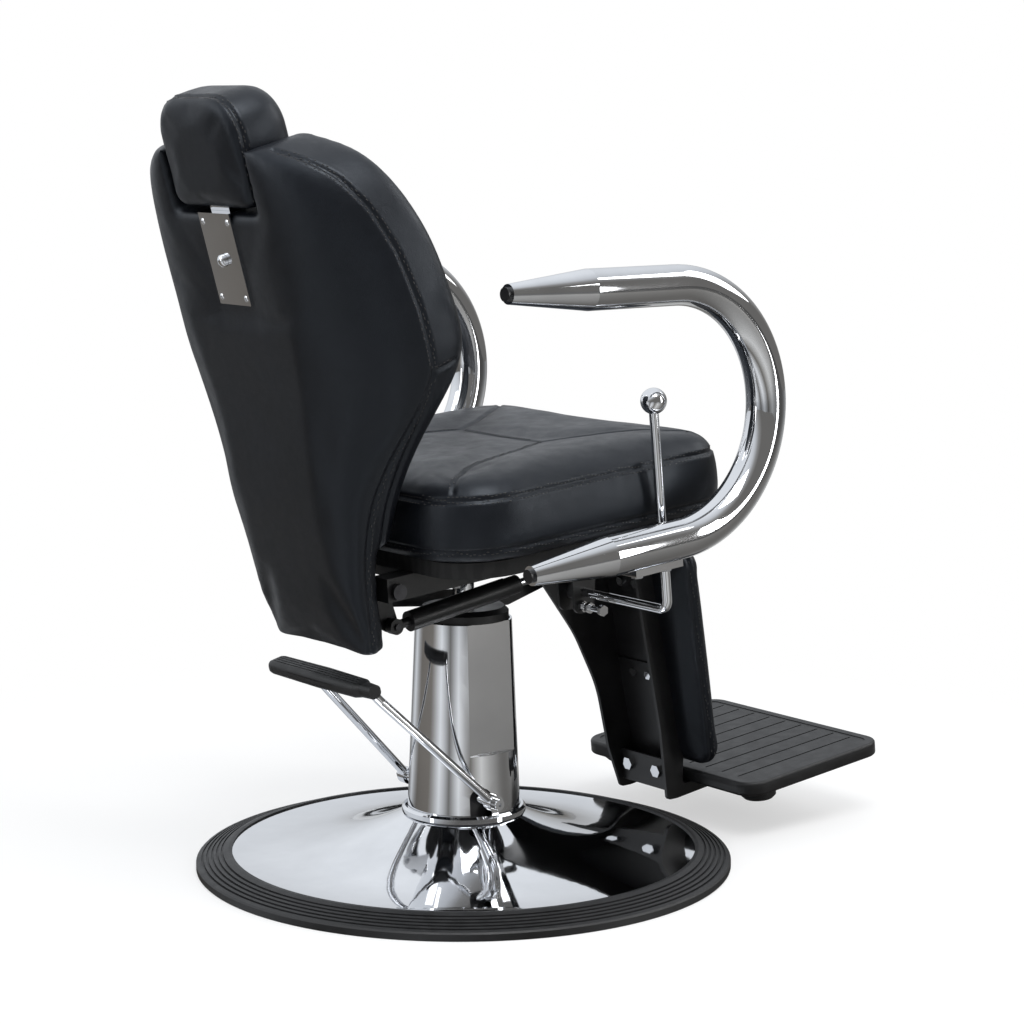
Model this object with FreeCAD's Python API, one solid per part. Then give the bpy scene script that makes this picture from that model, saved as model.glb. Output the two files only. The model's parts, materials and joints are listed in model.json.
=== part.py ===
import FreeCAD, Part
import math
import os

# Reclining hydraulic barber chair, millimetres, +Z up, facing -Y, origin on the floor under the pump.

# Base
base_radius = 350.0
ring_width = 50.0
ring_height = 24.0
ring_edge_height = 9.0
ring_groove_depth = 2.0
ring_groove_width = 3.0
ring_groove_count = 5
ring_lip_gap = 0.3
ring_foot_chamfer = 1.5
ring_edge_chamfer = 2.0
ring_crest = 8.0
plate_thickness = 8.0
plate_gap = 2.0
cover_sheet = 2.0
cover_rim_z = 20.0
cover_rim_overlap = 3.0
cover_neck_gap = 2.0
cover_neck_edge = 3.0
cover_belly_in = 30.0
cover_belly_rise = 17.0
cover_collar_z = 70.0
collar_height = 9.0
collar_wall = 5.0
collar_gap = 0.2
collar_chamfer = 3.0

# Pump
column_foot_radius = 74.0
column_top_radius = 63.0
column_top_z = 326.0
column_wall = 2.5
column_flat_depth = 10.0
column_flat_foot_z = 156.0
cap_height = 16.0
cap_radius = 59.0
cap_bore_gap = 1.5
cap_chamfer = 6.0
block_radius = 56.0
block_core_radius = 40.0
axle_boss_half = 16.0
axle_boss_rise = 18.0
block_height = 112.0
flange_radius = 64.0
flange_thickness = 12.0
cylinder_radius = 36.0
ram_radius = 14.0
ram_clearance = 0.05
ram_foot_z = 146.0
ram_socket_depth = 27.0
ram_chamfer = 3.0
ram_end_gap = 2.0
pump_bolt_radius = 5.0
pump_bolt_ring = 47.0
pump_bolt_count = 4
pump_bolt_head = 6.0

# Pedal
pedal_axle_radius = 8.0
pedal_axle_y = 24.0
pedal_axle_z = 101.0
pedal_arm_radius = 6.0
pedal_arm_gap = 1.0
pedal_arch_gap = 6.0
pedal_eye_radius = 11.0
pedal_eye_half = 7.0
pedal_bend_run = 16.0
pedal_bend_radius = 8.0
pedal_tie_inset = 14.0
pedal_screw_radius = 4.0
pedal_screw_depth = 24.0
pedal_screw_gap = 2.0
pedal_screw_head_radius = 7.0
pedal_screw_head = 7.0
pedal_screw_socket = 5.0
pedal_screw_socket_depth = 4.0
pedal_half_span = 93.0
pedal_top_right_x = -66.0
pedal_top_left_x = 57.0
pedal_top_y = 196.0
pedal_top_z = 266.0
pedal_pad_right_x = -76.0
pedal_pad_left_x = 146.0
pedal_grip_depth = 33.0
pedal_grip_thickness = 20.0
pedal_grip_end = 12.0
pedal_collar_length = 30.0
pedal_collar_radius = 9.0
pedal_grip_turn = 14.0
pedal_groove_count = 4
pedal_groove_width = 1.4
pedal_groove_depth = 1.2
pedal_running_clearance = 0.05

# Seat frame, tilted so that its front is higher
seat_tilt = 5.0
frame_z = 400.0
rail_x = 95.0
rail_width = 30.0
rail_height = 30.0
rail_wall = 3.0
rail_end_reach = 14.0
rail_front_plug = 44.0
rail_rear_plug = 32.0
rail_front_y = -185.0
crossbar_width = 40.0
crossbar_lift = 4.0
crossbar_rear_y = 104.0
lug_sheet = 6.0
lug_gap = 4.0
lug_half = 16.0
lug_drop = 14.0
lug_rise = 42.0
lug_round = 12.0
socket_radius = 21.0
socket_foot_z = 393.0
socket_plate_half = 62.0
socket_plate_sheet = 8.0
socket_flare = 12.0
socket_flare_height = 8.0
socket_end_clearance = 0.1
board_thickness = 20.0
board_inset = 18.0
seat_bolt_radius = 4.0
seat_bolt_head = 5.0
seat_bolt_bite = 11.0
seat_bolt_front_y = -165.0
seat_bolt_rear_y = 84.0

# Seat cushion
seat_half_width = 240.0
seat_front_y = -262.0
seat_rear_y = 176.0
seat_front_radius = 52.0
seat_rear_radius = 95.0
cushion_height = 106.0
cushion_draw = 10.0
cushion_round = 60.0
scoop_radius = 1500.0
scoop_height = 100.0
channel_width = 4.0
channel_depth = 4.0
seam_tip_x = 84.0
seam_tip_y = -75.0
seam_front_x = 155.0
seam_front_y = -183.0
seam_side_x = 118.0
seam_side_y = 3.0
seam_rear_x = 143.0
seam_rear_y = 78.0
seam_front_inset = 32.0
seam_rear_inset = 48.0

# Recline hinge and footrest hinge
recline_y = 186.0
recline_z = 396.0
hinge_pin_radius = 6.0
hinge_clearance = 0.05
hinge_pin_stand = 2.0
hinge_head_step = 4.0
hinge_head_length = 5.0
foot_shaft_stand = 4.0
link_rear_y = 168.0
link_rear_z = 357.0
link_front_y = -200.0
link_front_z = 345.0
link_bend_y = -134.0
link_bend_z = 326.0
link_x = 80.0
link_thickness = 6.0
link_width = 22.0
link_pin_radius = 5.0
link_pin_gap = 1.0
link_pin_step = 3.0
link_pin_head = 4.0
foot_hinge_y = link_front_y - link_rear_y + recline_y
foot_hinge_z = link_front_z - link_rear_z + recline_z

# Gas spring
spring_x = -75.0
spring_rear_y = 165.0
spring_rear_z = 345.0
spring_front_y = -120.0
spring_front_z = 392.0
spring_radius = 13.0
spring_length = 196.0
spring_rod_radius = 5.0
spring_mouth_clearance = 2.5
spring_pin_radius = 4.0
spring_eye_radius = 10.0
spring_eye_half = 6.0
spring_eye_length = 22.0
spring_neck_radius = 6.0
spring_pin_stand = 3.0
spring_bore_foot = 40.0
spring_bore_step = 2.0
spring_cap_length = 20.0
spring_cap_step = 1.0
rod_depth = 80.0
rod_head_length = 18.0
rod_head_radius = 9.0
rod_head_stand = 12.0
release_pin_radius = 3.0
release_pin_reach = 20.0

# Armrests
arm_tube_radius = 25.0
arm_side_gap = 38.0
arm_x = seat_half_width + arm_side_gap + arm_tube_radius
arm_bend_radius = 156.0
arm_bend_y = -89.0
arm_tube_rise = 47.5
arm_upper_rear_y = 49.0
arm_lower_rear_y = 15.0
arm_cone_length = 118.0
arm_cone_tip_radius = 12.0
arm_plug_length = 5.0
arm_plug_radius = 8.5
arm_bracket_thickness = 5.0
arm_bracket_width = 76.0
arm_bracket_y = -58.0
arm_wall = 2.5
arm_saddle_half = 16.0
arm_saddle_rise = 4.0
arm_saddle_pad = 4.0
arm_flange_lift = 1.0
arm_bolt_radius = 4.0
arm_bolt_head = 5.0
arm_bolt_inset = 15.0
arm_bolt_reach = 16.0
arm_bolt_bite = 12.0
arm_bolt_z = 9.0

# Release lever
lever_side_gap = 14.0
lever_x = -seat_half_width - lever_side_gap
lever_y = -128.0
lever_z = 357.0
lever_rod_radius = 6.0
lever_end_stand = 3.0
lever_lean = 6.0
lever_height = 257.0
lever_ball_radius = 16.5
lever_bend_radius = 14.0
lever_clearance = 0.05
lever_throw = 12.0
finger_press_gap = 0.8
finger_thickness = 12.0
finger_hub = 11.0
finger_half = 5.0
finger_step = 7.0
finger_overlap = 3.0
finger_round = 6.0
fork_half = 13.0
fork_sheet = 4.0
fork_front = 34.0
fork_rear = 22.0
fork_side = 20.0
ear_half = 16.0
ear_front = 28.0
ear_rise = 20.0
ear_round = 10.0
stop_radius = 4.0
stop_length = 46.0
stop_drop = 17.0
stop_setback = 6.0
stop_nut = 6.0
stop_nut_mid = 20.0
stop_nut_inner = 7.0

# Back, built upright and then leaned
back_lean = 15.5
back_foot_y = 222.0
back_foot_z = 323.0
back_height = 630.0
back_half_width = 240.0
back_depth = 152.0
back_edge_round = 22.0
back_strip_half = 92.0
back_strip_inset = 8.0
back_board_half = 78.0
back_board_foot = 14.0
back_board_drop = 12.0
back_board_w = 22.0
back_board_thickness = 12.0
back_cushion_foot = 124.0
bracket_thickness = 6.0
bracket_x = 62.0
bracket_pivot_margin = 16.0
bracket_eye_margin = 13.0
bracket_pivot_round = 10.0
bracket_eye_round = 8.0
bracket_web_drop = 18.0
bracket_flange = 4.0
bracket_flange_inner = 30.0
bracket_flange_foot = 38.0
bracket_flange_top = 110.0
bracket_bolt_radius = 3.0
bracket_bolt_head = 4.0
bracket_bolt_bite = 9.0
bracket_bolt_x = 43.0
bracket_bolt_inset = 14.0

# Headrest
notch_half = 89.0
notch_drop = 78.0
notch_foot = back_height - notch_drop
back_board_top = notch_foot - back_board_drop
headrest_half = 85.0
headrest_gap = 5.0
headrest_height = 137.0
headrest_foot = notch_foot + headrest_gap
headrest_top = headrest_foot + headrest_height
headrest_depth = 88.0
headrest_draw = 34.0
headrest_rear_crown = 2.0
headrest_top_round = 48.0
headrest_foot_round = 18.0
headrest_bar_half = 20.0
headrest_bar_thickness = 6.0
headrest_bar_w = 9.0
headrest_bar_tail = 16.0
headrest_bar_bury = 70.0
headrest_slot_end = 4.0
guide_wall = 4.0
guide_foot_inset = 6.0
guide_top_inset = 8.0
headrest_plate_half = 33.5
headrest_plate_height = 112.0
headrest_plate_top = notch_foot
headrest_plate_foot = headrest_plate_top - headrest_plate_height
headrest_bar_foot = headrest_plate_foot - headrest_bar_tail
headrest_plate_sheet = 2.0
headrest_fold_depth = 24.0
screw_shank_radius = 2.0
screw_shank_length = 14.0
screw_dome_radius = 5.6
screw_dome_height = 1.7
screw_slot_depth = 0.7
screw_slot_width = 1.0
screw_inset = 7.0
screw_drop = 9.0
headrest_button_radius = 7.5
button_length = 9.0
button_stand = 5.0
slide_clearance = 0.3

# Footrest
foot_half = 51.0
foot_plate_sheet = 5.0
foot_bar_width = 31.0
foot_tip_y = -313.0
foot_tip_z = 41.0
foot_lug_half = 16.0
foot_lug_round = 14.0
foot_bar_drop = 4.0
foot_bar_rise = 6.0
foot_tip_width = 17.0
foot_corner = 6.0
foot_heel_round = 20.0
foot_knee_round = 60.0
tread_arm_rear = 12.0
tread_arm_length = 150.0
tread_arm_depth = 12.0
web_neck_drop = 34.0
web_neck_round = 30.0
web_round = 200.0
web_high_y = -228.0
web_high_z = 268.0
web_mid_y = -269.0
web_mid_z = 189.0
web_low_y = -290.0
web_low_z = 100.0
calf_lean = 12.3
calf_top_y = -275.0
calf_top_z = 398.0
calf_foot_z = 90.0
calf_top_half = 119.0
calf_foot_half = 101.0
calf_depth = 34.0
calf_draw = 24.0
calf_corner = 26.0
sheet_thickness = 4.0
sheet_step = 3.0
sheet_step_z = 229.0
sheet_drop = 14.0
sheet_bolt_radius = 3.5
sheet_bolt_head = 4.0
sheet_bolt_bite = 12.0
sheet_bolt_x = 15.0
sheet_bolt_high = 58.0
sheet_bolt_low = 190.0
tread_half = 176.0
tread_rear_y = -350.0
tread_front_y = -606.0
tread_rear_z = 80.0
tread_rise = 6.0
tread_thickness = 20.0
tread_corner = 30.0
tread_edge_round = 4.0
mat_thickness = 8.0
mat_border = 14.0
tread_groove_count = 9
tread_groove_width = 3.0
tread_groove_depth = 2.0
tread_groove_end = 6.0
bumper_radius = 24.0
bumper_height = 14.0
bumper_chamfer = 4.0
bumper_inset = 34.0
bumper_setback = 44.0
angle_sheet = 4.0
angle_front = 60.0
angle_rear = 36.0
angle_rise = 20.0
cross_bolt_radius = 5.0
cross_bolt_head = 6.0
cross_bolt_length = 12.0
cross_bolt_x = 29.0
cross_bolt_z = 2.0
tread_bolt_radius = 4.0
tread_bolt_head = 5.0
tread_bolt_length = 12.0
tread_bolt_setback = 36.0

COLLECT = {}


def vec(x, y, z):
    return FreeCAD.Vector(x, y, z)


def keep(name, shape):
    COLLECT[name] = shape


def cyl_x(radius, x0, x1, y, z):
    return Part.makeCylinder(radius, x1 - x0, vec(x0, y, z), vec(1, 0, 0))


def cyl_z(radius, z0, z1, x=0.0, y=0.0):
    return Part.makeCylinder(radius, z1 - z0, vec(x, y, z0), vec(0, 0, 1))


def cyl_between(radius, start, end):
    axis = end.sub(start)
    return Part.makeCylinder(radius, axis.Length, start, axis)


def cone_between(radius0, radius1, start, end):
    axis = end.sub(start)
    return Part.makeCone(radius0, radius1, axis.Length, start, axis)


def box(x0, x1, y0, y1, z0, z1):
    return Part.makeBox(x1 - x0, y1 - y0, z1 - z0, vec(x0, y0, z0))


def hexagon(across, height, start, axis):
    turn = FreeCAD.Rotation(vec(0, 0, 1), axis)
    corner = across / math.sqrt(3.0)
    corners = []
    for k in range(6):
        angle = math.radians(60 * k)
        spoke = turn.multVec(vec(corner * math.cos(angle), corner * math.sin(angle), 0))
        corners.append(start.add(spoke))
    run = FreeCAD.Vector(axis)
    run.normalize()
    return Part.Face(Part.makePolygon(corners + [corners[0]])).extrude(run.multiply(height))


def bolt_head_across(radius):
    return 3.2 * radius


def rounded_wire(points, radius, closed):
    count = len(points)
    radii = radius if isinstance(radius, list) else [radius] * count
    corners = []
    for k in range(count):
        here = points[k]
        if not closed and k in (0, count - 1):
            corners.append((here, None, here))
            continue
        before = points[k - 1].sub(here)
        after = points[(k + 1) % count].sub(here)
        before.normalize()
        after.normalize()
        half = math.acos(max(-1.0, min(1.0, before.dot(after)))) / 2.0
        if radii[k] <= 0 or half > math.radians(89.5):
            corners.append((here, None, here))
            continue
        reach = radii[k] / math.tan(half)
        bisector = before.add(after)
        bisector.normalize()
        start = here.add(FreeCAD.Vector(before).multiply(reach))
        end = here.add(FreeCAD.Vector(after).multiply(reach))
        middle = here.add(bisector.multiply(radii[k] / math.sin(half) - radii[k]))
        corners.append((start, middle, end))
    edges = []
    for k in range(count):
        start, middle, end = corners[k]
        if middle is not None:
            edges.append(Part.Arc(start, middle, end).toShape())
        if closed or k < count - 1:
            ahead = corners[(k + 1) % count][0]
            if end.sub(ahead).Length > 1e-4:
                edges.append(Part.makeLine(end, ahead))
    return Part.Wire(edges)


def plate_x(profile, radius, x0, x1):
    wire = rounded_wire([vec(x0, y, z) for y, z in profile], radius, True)
    return Part.Face(wire).extrude(vec(x1 - x0, 0, 0))


def plate_z(profile, radius, z0, z1):
    wire = rounded_wire([vec(x, y, z0) for x, y in profile], radius, True)
    return Part.Face(wire).extrude(vec(0, 0, z1 - z0))


def rod(points, radius, bend):
    path = rounded_wire(points, bend, False)
    first = path.Edges[0]
    axis = first.tangentAt(first.FirstParameter)
    ring = Part.Wire([Part.makeCircle(radius, points[0], axis)])
    return path.makePipeShell([ring], True, False)


def turned(profile):
    points = [vec(r, 0, z) for r, z in profile]
    wire = Part.makePolygon(points + [points[0]])
    return Part.Face(wire).revolve(vec(0, 0, 0), vec(0, 0, 1), 360)


def fused(shapes):
    solid = shapes[0]
    for other in shapes[1:]:
        solid = solid.fuse(other)
    return solid.removeSplitter()


def mirrored(shape):
    return shape.mirror(vec(0, 0, 0), vec(1, 0, 0))


SEAT = FreeCAD.Placement(vec(0, 0, frame_z), FreeCAD.Rotation(vec(1, 0, 0), -seat_tilt))
BACK = FreeCAD.Placement(vec(0, back_foot_y, back_foot_z), FreeCAD.Rotation(vec(1, 0, 0), -back_lean))


def on_seat(shape):
    return shape.transformed(SEAT.toMatrix())


def on_back(shape):
    return shape.transformed(BACK.toMatrix())


def seat_local(y, z):
    return SEAT.inverse().multVec(vec(0, y, z))


def back_local(y, z):
    return BACK.inverse().multVec(vec(0, y, z))


# Base plate, rubber ring, chrome cover and collar
bolt_holes = []
for k in range(pump_bolt_count):
    angle = math.radians(360.0 / pump_bolt_count * (k + 0.5))
    bolt_holes.append((pump_bolt_ring * math.cos(angle), pump_bolt_ring * math.sin(angle)))

ring_inner_radius = base_radius - ring_width
base_plate = cyl_z(ring_inner_radius - plate_gap, 0, plate_thickness)
for x, y in bolt_holes:
    base_plate = base_plate.cut(cyl_z(pump_bolt_radius, 0, plate_thickness, x, y))
    base_plate = base_plate.cut(cyl_z(2 * pump_bolt_radius, 0, plate_thickness / 2, x, y))
keep("base_plate", base_plate)

rim_radius = ring_inner_radius + cover_rim_overlap
ring = turned([
    (ring_inner_radius, 0),
    (base_radius - ring_foot_chamfer, 0),
    (base_radius, ring_foot_chamfer),
    (base_radius, ring_edge_height),
    (base_radius - ring_edge_chamfer, ring_edge_height + ring_edge_chamfer),
    (ring_inner_radius + ring_crest, ring_height),
    (rim_radius + ring_lip_gap, ring_height),
    (rim_radius + ring_lip_gap, cover_rim_z - ring_lip_gap),
    (ring_inner_radius, cover_rim_z - ring_lip_gap),
])
slope_run = ring_width - ring_edge_chamfer - ring_crest
slope_foot_z = ring_edge_height + ring_edge_chamfer
ring_pitch = (slope_run - ring_edge_chamfer) / (ring_groove_count + 1)
ring_slope = (ring_height - slope_foot_z) / slope_run
for k in range(ring_groove_count):
    run_in = ring_pitch * (k + 1)
    r = base_radius - ring_edge_chamfer - run_in
    z = slope_foot_z + ring_slope * run_in
    ring = ring.cut(turned([
        (r - ring_groove_width / 2, z - ring_groove_depth),
        (r + ring_groove_width / 2, z - ring_groove_depth),
        (r + ring_groove_width / 2, z + ring_height),
        (r - ring_groove_width / 2, z + ring_height),
    ]))
keep("base_ring", ring)

neck_radius = column_foot_radius + cover_neck_gap
belly_radius = (rim_radius + neck_radius) / 2 - cover_belly_in
belly_z = cover_rim_z + cover_belly_rise
neck_edge_z = cover_collar_z - cover_neck_edge
outer_arc = Part.Arc(
    vec(rim_radius, 0, cover_rim_z + cover_sheet),
    vec(belly_radius, 0, belly_z),
    vec(neck_radius, 0, cover_collar_z)).toShape()
inner_arc = Part.Arc(
    vec(rim_radius, 0, cover_rim_z),
    vec(belly_radius, 0, belly_z - cover_sheet),
    vec(neck_radius, 0, neck_edge_z)).toShape()
cover_profile = Part.Wire([
    outer_arc,
    Part.makeLine(vec(neck_radius, 0, cover_collar_z), vec(neck_radius, 0, neck_edge_z)),
    inner_arc,
    Part.makeLine(vec(rim_radius, 0, cover_rim_z), vec(rim_radius, 0, cover_rim_z + cover_sheet)),
])
keep("base_cover", Part.Face(cover_profile).revolve(vec(0, 0, 0), vec(0, 0, 1), 360))

collar_top = cover_collar_z + collar_height
keep("cover_collar", turned([
    (column_foot_radius + collar_gap, cover_collar_z),
    (neck_radius + collar_wall, cover_collar_z),
    (neck_radius + collar_wall, collar_top - collar_chamfer),
    (neck_radius + collar_wall - collar_chamfer, collar_top),
    (column_foot_radius + collar_gap, collar_top),
]))

# Pump block with its flange, bolted to the base plate
block_foot = plate_thickness
flange_top = block_foot + flange_thickness
block_top = flange_top + block_height
pump_block = cyl_z(flange_radius, block_foot, flange_top)
pump_block = pump_block.fuse(cyl_z(block_core_radius, flange_top, block_top))
pump_block = pump_block.fuse(box(-block_radius, block_radius, pedal_axle_y - axle_boss_half,
                                 pedal_axle_y + axle_boss_half, flange_top, pedal_axle_z + axle_boss_rise))
for x, y in bolt_holes:
    pump_block = pump_block.cut(cyl_z(pump_bolt_radius, block_foot, flange_top, x, y))
    pump_block = pump_block.cut(cyl_z(2 * pump_bolt_radius + 1, flange_top, block_top, x, y))
axle_bore = pedal_axle_radius + pedal_running_clearance
pump_block = pump_block.cut(cyl_x(axle_bore, -block_radius, block_radius, pedal_axle_y, pedal_axle_z))
keep("pump_block", pump_block.removeSplitter())

bolts = []
for x, y in bolt_holes:
    shank = cyl_z(pump_bolt_radius, plate_thickness / 2, flange_top, x, y)
    head = hexagon(bolt_head_across(pump_bolt_radius), pump_bolt_head, vec(x, y, flange_top), vec(0, 0, 1))
    bolts.append(shank.fuse(head).removeSplitter())
keep("pump_bolts", Part.makeCompound(bolts))

cylinder = cyl_z(cylinder_radius, block_top, column_top_z)
cylinder = cylinder.cut(cyl_z(ram_radius + ram_clearance, ram_foot_z - ram_end_gap, column_top_z))
keep("pump_cylinder", cylinder)

# Chrome pump cover with two flats and an arched cut-out for the pedal axle at each side
column_foot_z = cover_collar_z
column_taper = (column_foot_radius - column_top_radius) / (column_top_z - column_foot_z)
shell_height = column_top_z - column_foot_z
outside = Part.makeCone(column_foot_radius, column_top_radius, shell_height, vec(0, 0, column_foot_z))
inside = Part.makeCone(column_foot_radius - column_wall, column_top_radius - column_wall, shell_height,
                       vec(0, 0, column_foot_z))
lean = math.degrees(math.atan(column_taper))
flat_reach = column_foot_radius + column_wall
ledge_radius = column_foot_radius - column_taper * (column_flat_foot_z - column_foot_z)
for side in (-1, 1):
    for solid_name, depth in (("out", column_flat_depth), ("in", column_flat_depth + column_wall)):
        slab_foot = 0 if solid_name == "out" else -column_wall
        slab = box(0, column_foot_radius, -flat_reach, flat_reach, slab_foot, shell_height)
        slab.rotate(vec(0, 0, 0), vec(0, 1, 0), -lean)
        slab.translate(vec(ledge_radius - depth, 0, column_flat_foot_z))
        if side < 0:
            slab = mirrored(slab)
        if solid_name == "out":
            outside = outside.cut(slab)
        else:
            inside = inside.cut(slab)
column = outside.cut(inside)
arch_radius = pedal_axle_radius + pedal_arch_gap
for side in (-1, 1):
    start = side * column_foot_radius / 2
    end = side * (column_foot_radius + column_wall)
    x0 = min(start, end)
    x1 = max(start, end)
    column = column.cut(cyl_x(arch_radius, x0, x1, pedal_axle_y, pedal_axle_z))
    column = column.cut(box(x0, x1, pedal_axle_y - arch_radius, pedal_axle_y + arch_radius,
                            column_foot_z - 1, pedal_axle_z))
keep("pump_cover", column)

cap_top = column_top_z + cap_height
cap = turned([
    (ram_radius + cap_bore_gap, column_top_z),
    (cap_radius, column_top_z),
    (cap_radius, cap_top - cap_chamfer),
    (cap_radius - cap_chamfer, cap_top),
    (ram_radius + cap_bore_gap, cap_top),
])
keep("pump_cap", cap)

ram_top = socket_foot_z + ram_socket_depth
keep("pump_ram", fused([
    cyl_z(ram_radius, ram_foot_z, ram_top - ram_chamfer),
    Part.makeCone(ram_radius, ram_radius - ram_chamfer, ram_chamfer, vec(0, 0, ram_top - ram_chamfer)),
]))

# Pump pedal
axle_half = pedal_half_span - pedal_eye_half
axle = cyl_x(pedal_axle_radius, -axle_half, axle_half, pedal_axle_y, pedal_axle_z)
for side in (-1, 1):
    x = side * axle_half
    x0 = min(x, x - side * pedal_screw_depth)
    axle = axle.cut(cyl_x(pedal_screw_radius, x0, x0 + pedal_screw_depth, pedal_axle_y, pedal_axle_z))
keep("pedal_axle", axle)

arms = []
for side, top_x in ((-1, pedal_top_right_x), (1, pedal_top_left_x)):
    x = side * pedal_half_span
    eye = cyl_x(pedal_eye_radius, x - pedal_eye_half, x + pedal_eye_half, pedal_axle_y, pedal_axle_z)
    bend = vec(top_x, pedal_top_y - pedal_bend_run, pedal_top_z - pedal_bend_run)
    arm = rod([vec(x, pedal_axle_y, pedal_axle_z), bend, vec(top_x, pedal_top_y, pedal_top_z)],
              pedal_arm_radius, pedal_bend_radius)
    arm = arm.cut(cyl_x(pedal_axle_radius + pedal_arm_gap, -axle_half, axle_half, pedal_axle_y, pedal_axle_z))
    screw_hole = cyl_x(pedal_screw_radius, x - pedal_eye_half, x + pedal_eye_half, pedal_axle_y, pedal_axle_z)
    arms.append(eye.fuse(arm).cut(screw_hole))
tie = cyl_between(pedal_arm_radius, vec(pedal_pad_right_x + pedal_tie_inset, pedal_top_y, pedal_top_z),
                  vec(pedal_pad_left_x - pedal_tie_inset, pedal_top_y, pedal_top_z))
pedal_arms = fused([arms[0], arms[1], tie])
keep("pedal_arms", pedal_arms)

screws = []
for side in (-1, 1):
    seat_x = side * (pedal_half_span + pedal_eye_half)
    tip = side * (axle_half - pedal_screw_depth + pedal_screw_gap)
    shank = cyl_x(pedal_screw_radius, min(seat_x, tip), max(seat_x, tip), pedal_axle_y, pedal_axle_z)
    head_end = seat_x + side * pedal_screw_head
    head = cyl_x(pedal_screw_head_radius, min(seat_x, head_end), max(seat_x, head_end),
                 pedal_axle_y, pedal_axle_z)
    head = head.cut(hexagon(pedal_screw_socket, pedal_screw_socket_depth,
                            vec(head_end, pedal_axle_y, pedal_axle_z), vec(-side, 0, 0)))
    screws.append(shank.fuse(head).removeSplitter())
keep("pedal_screws", Part.makeCompound(screws))

# Pedal grip: an oval rubber sleeve with a rounded free end and a narrower collar at the bent arm
grip_half = pedal_grip_depth / 2
grip_half_height = pedal_grip_thickness / 2
grip_mid_x = (pedal_pad_right_x + pedal_pad_left_x) / 2
collar_x = pedal_pad_right_x + pedal_collar_length


def grip_section(x, half_depth, half_height):
    corners = [
        vec(x, -half_depth, -half_height),
        vec(x, half_depth, -half_height),
        vec(x, half_depth, half_height),
        vec(x, -half_depth, half_height),
    ]
    return rounded_wire(corners, half_height * 0.85, True)


pad_sections = [
    grip_section(pedal_pad_right_x, pedal_collar_radius, pedal_collar_radius * 0.95),
    grip_section(collar_x - pedal_collar_length / 3, pedal_collar_radius * 1.15, pedal_collar_radius * 0.98),
    grip_section(collar_x, grip_half * 0.9, grip_half_height * 0.95),
    grip_section(grip_mid_x, grip_half, grip_half_height),
]
for degrees in (0, 30, 55, 75, 88):
    turn = math.radians(degrees)
    end_x = pedal_pad_left_x - pedal_grip_end * (1 - math.sin(turn))
    draw_in = 1 - 0.55 * (1 - math.cos(turn))
    pad_sections.append(grip_section(end_x, grip_half * 0.92 * draw_in, grip_half_height * 0.94 * draw_in))
pad = Part.makeLoft(pad_sections, True, True)
groove_half = pedal_groove_width / 2
groove_z = grip_half_height - pedal_groove_depth
grip_pitch = 1.2 * grip_half / pedal_groove_count
for k in range(pedal_groove_count):
    y = grip_pitch * (k - (pedal_groove_count - 1) / 2)
    pad = pad.cut(box(collar_x, pedal_pad_left_x - pedal_grip_end, y - groove_half, y + groove_half,
                      groove_z, pedal_grip_thickness))
for z in (-grip_half_height / 3, grip_half_height / 3):
    pad = pad.cut(box(collar_x, pedal_pad_left_x - pedal_grip_end, grip_half - pedal_groove_depth,
                      pedal_grip_depth, z - groove_half, z + groove_half))
pad.rotate(vec(0, 0, 0), vec(1, 0, 0), -pedal_grip_turn)
pad.translate(vec(0, pedal_top_y, pedal_top_z))
pad = pad.cut(pedal_arms)
keep("pedal_pad", pad)


# Welded seat frame: two tubes, two crossbars and the lugs of the footrest hinge
pin_local = seat_local(recline_y, recline_z)
rail_rear_y = pin_local.y + rail_end_reach
rail_in = rail_x - rail_width / 2
rail_out = rail_x + rail_width / 2
pieces = []
for side in (-1, 1):
    x0 = side * rail_x - rail_width / 2
    x1 = side * rail_x + rail_width / 2
    tube = box(x0, x1, rail_front_y, rail_rear_y, 0, rail_height)
    hollow = box(x0 + rail_wall, x1 - rail_wall, rail_front_y + rail_front_plug, rail_rear_y - rail_rear_plug,
                 rail_wall, rail_height - rail_wall)
    pieces.append(tube.cut(hollow))
crossbar_front = box(-rail_in, rail_in, rail_front_y, rail_front_y + crossbar_width, crossbar_lift, rail_height)
crossbar_rear = box(-rail_in, rail_in, crossbar_rear_y, crossbar_rear_y + crossbar_width / 2,
                    crossbar_lift, rail_height)
seat_frame = on_seat(fused(pieces + [crossbar_front, crossbar_rear]))
lug_inner = foot_half + lug_gap
lug_outer = lug_inner + lug_sheet
frame_reach = 2 * rail_x
lugs = []
for side in (-1, 1):
    x0 = min(side * lug_inner, side * lug_outer)
    lugs.append(plate_x([
        (foot_hinge_y - lug_half, foot_hinge_z - lug_drop),
        (foot_hinge_y + lug_half, foot_hinge_z - lug_drop),
        (foot_hinge_y + 2 * lug_half, foot_hinge_z + lug_rise),
        (foot_hinge_y, foot_hinge_z + lug_rise),
    ], [lug_round, lug_round, 0, 0], x0, x0 + lug_sheet))
seat_frame = fused([seat_frame] + lugs)
seat_frame = seat_frame.cut(cyl_x(hinge_pin_radius, -frame_reach, frame_reach, foot_hinge_y, foot_hinge_z))
seat_frame = seat_frame.cut(cyl_x(hinge_pin_radius, -frame_reach, frame_reach, recline_y, recline_z))
seat_bolt_spots = []
for x in (-rail_x, rail_x):
    for y in (seat_bolt_front_y, seat_bolt_rear_y):
        seat_bolt_spots.append((x, y))
bolt_top = rail_height + seat_bolt_bite
drills = [on_seat(cyl_z(seat_bolt_radius, -seat_bolt_head, bolt_top, x, y)) for x, y in seat_bolt_spots]
for drill in drills:
    seat_frame = seat_frame.cut(drill)

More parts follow.
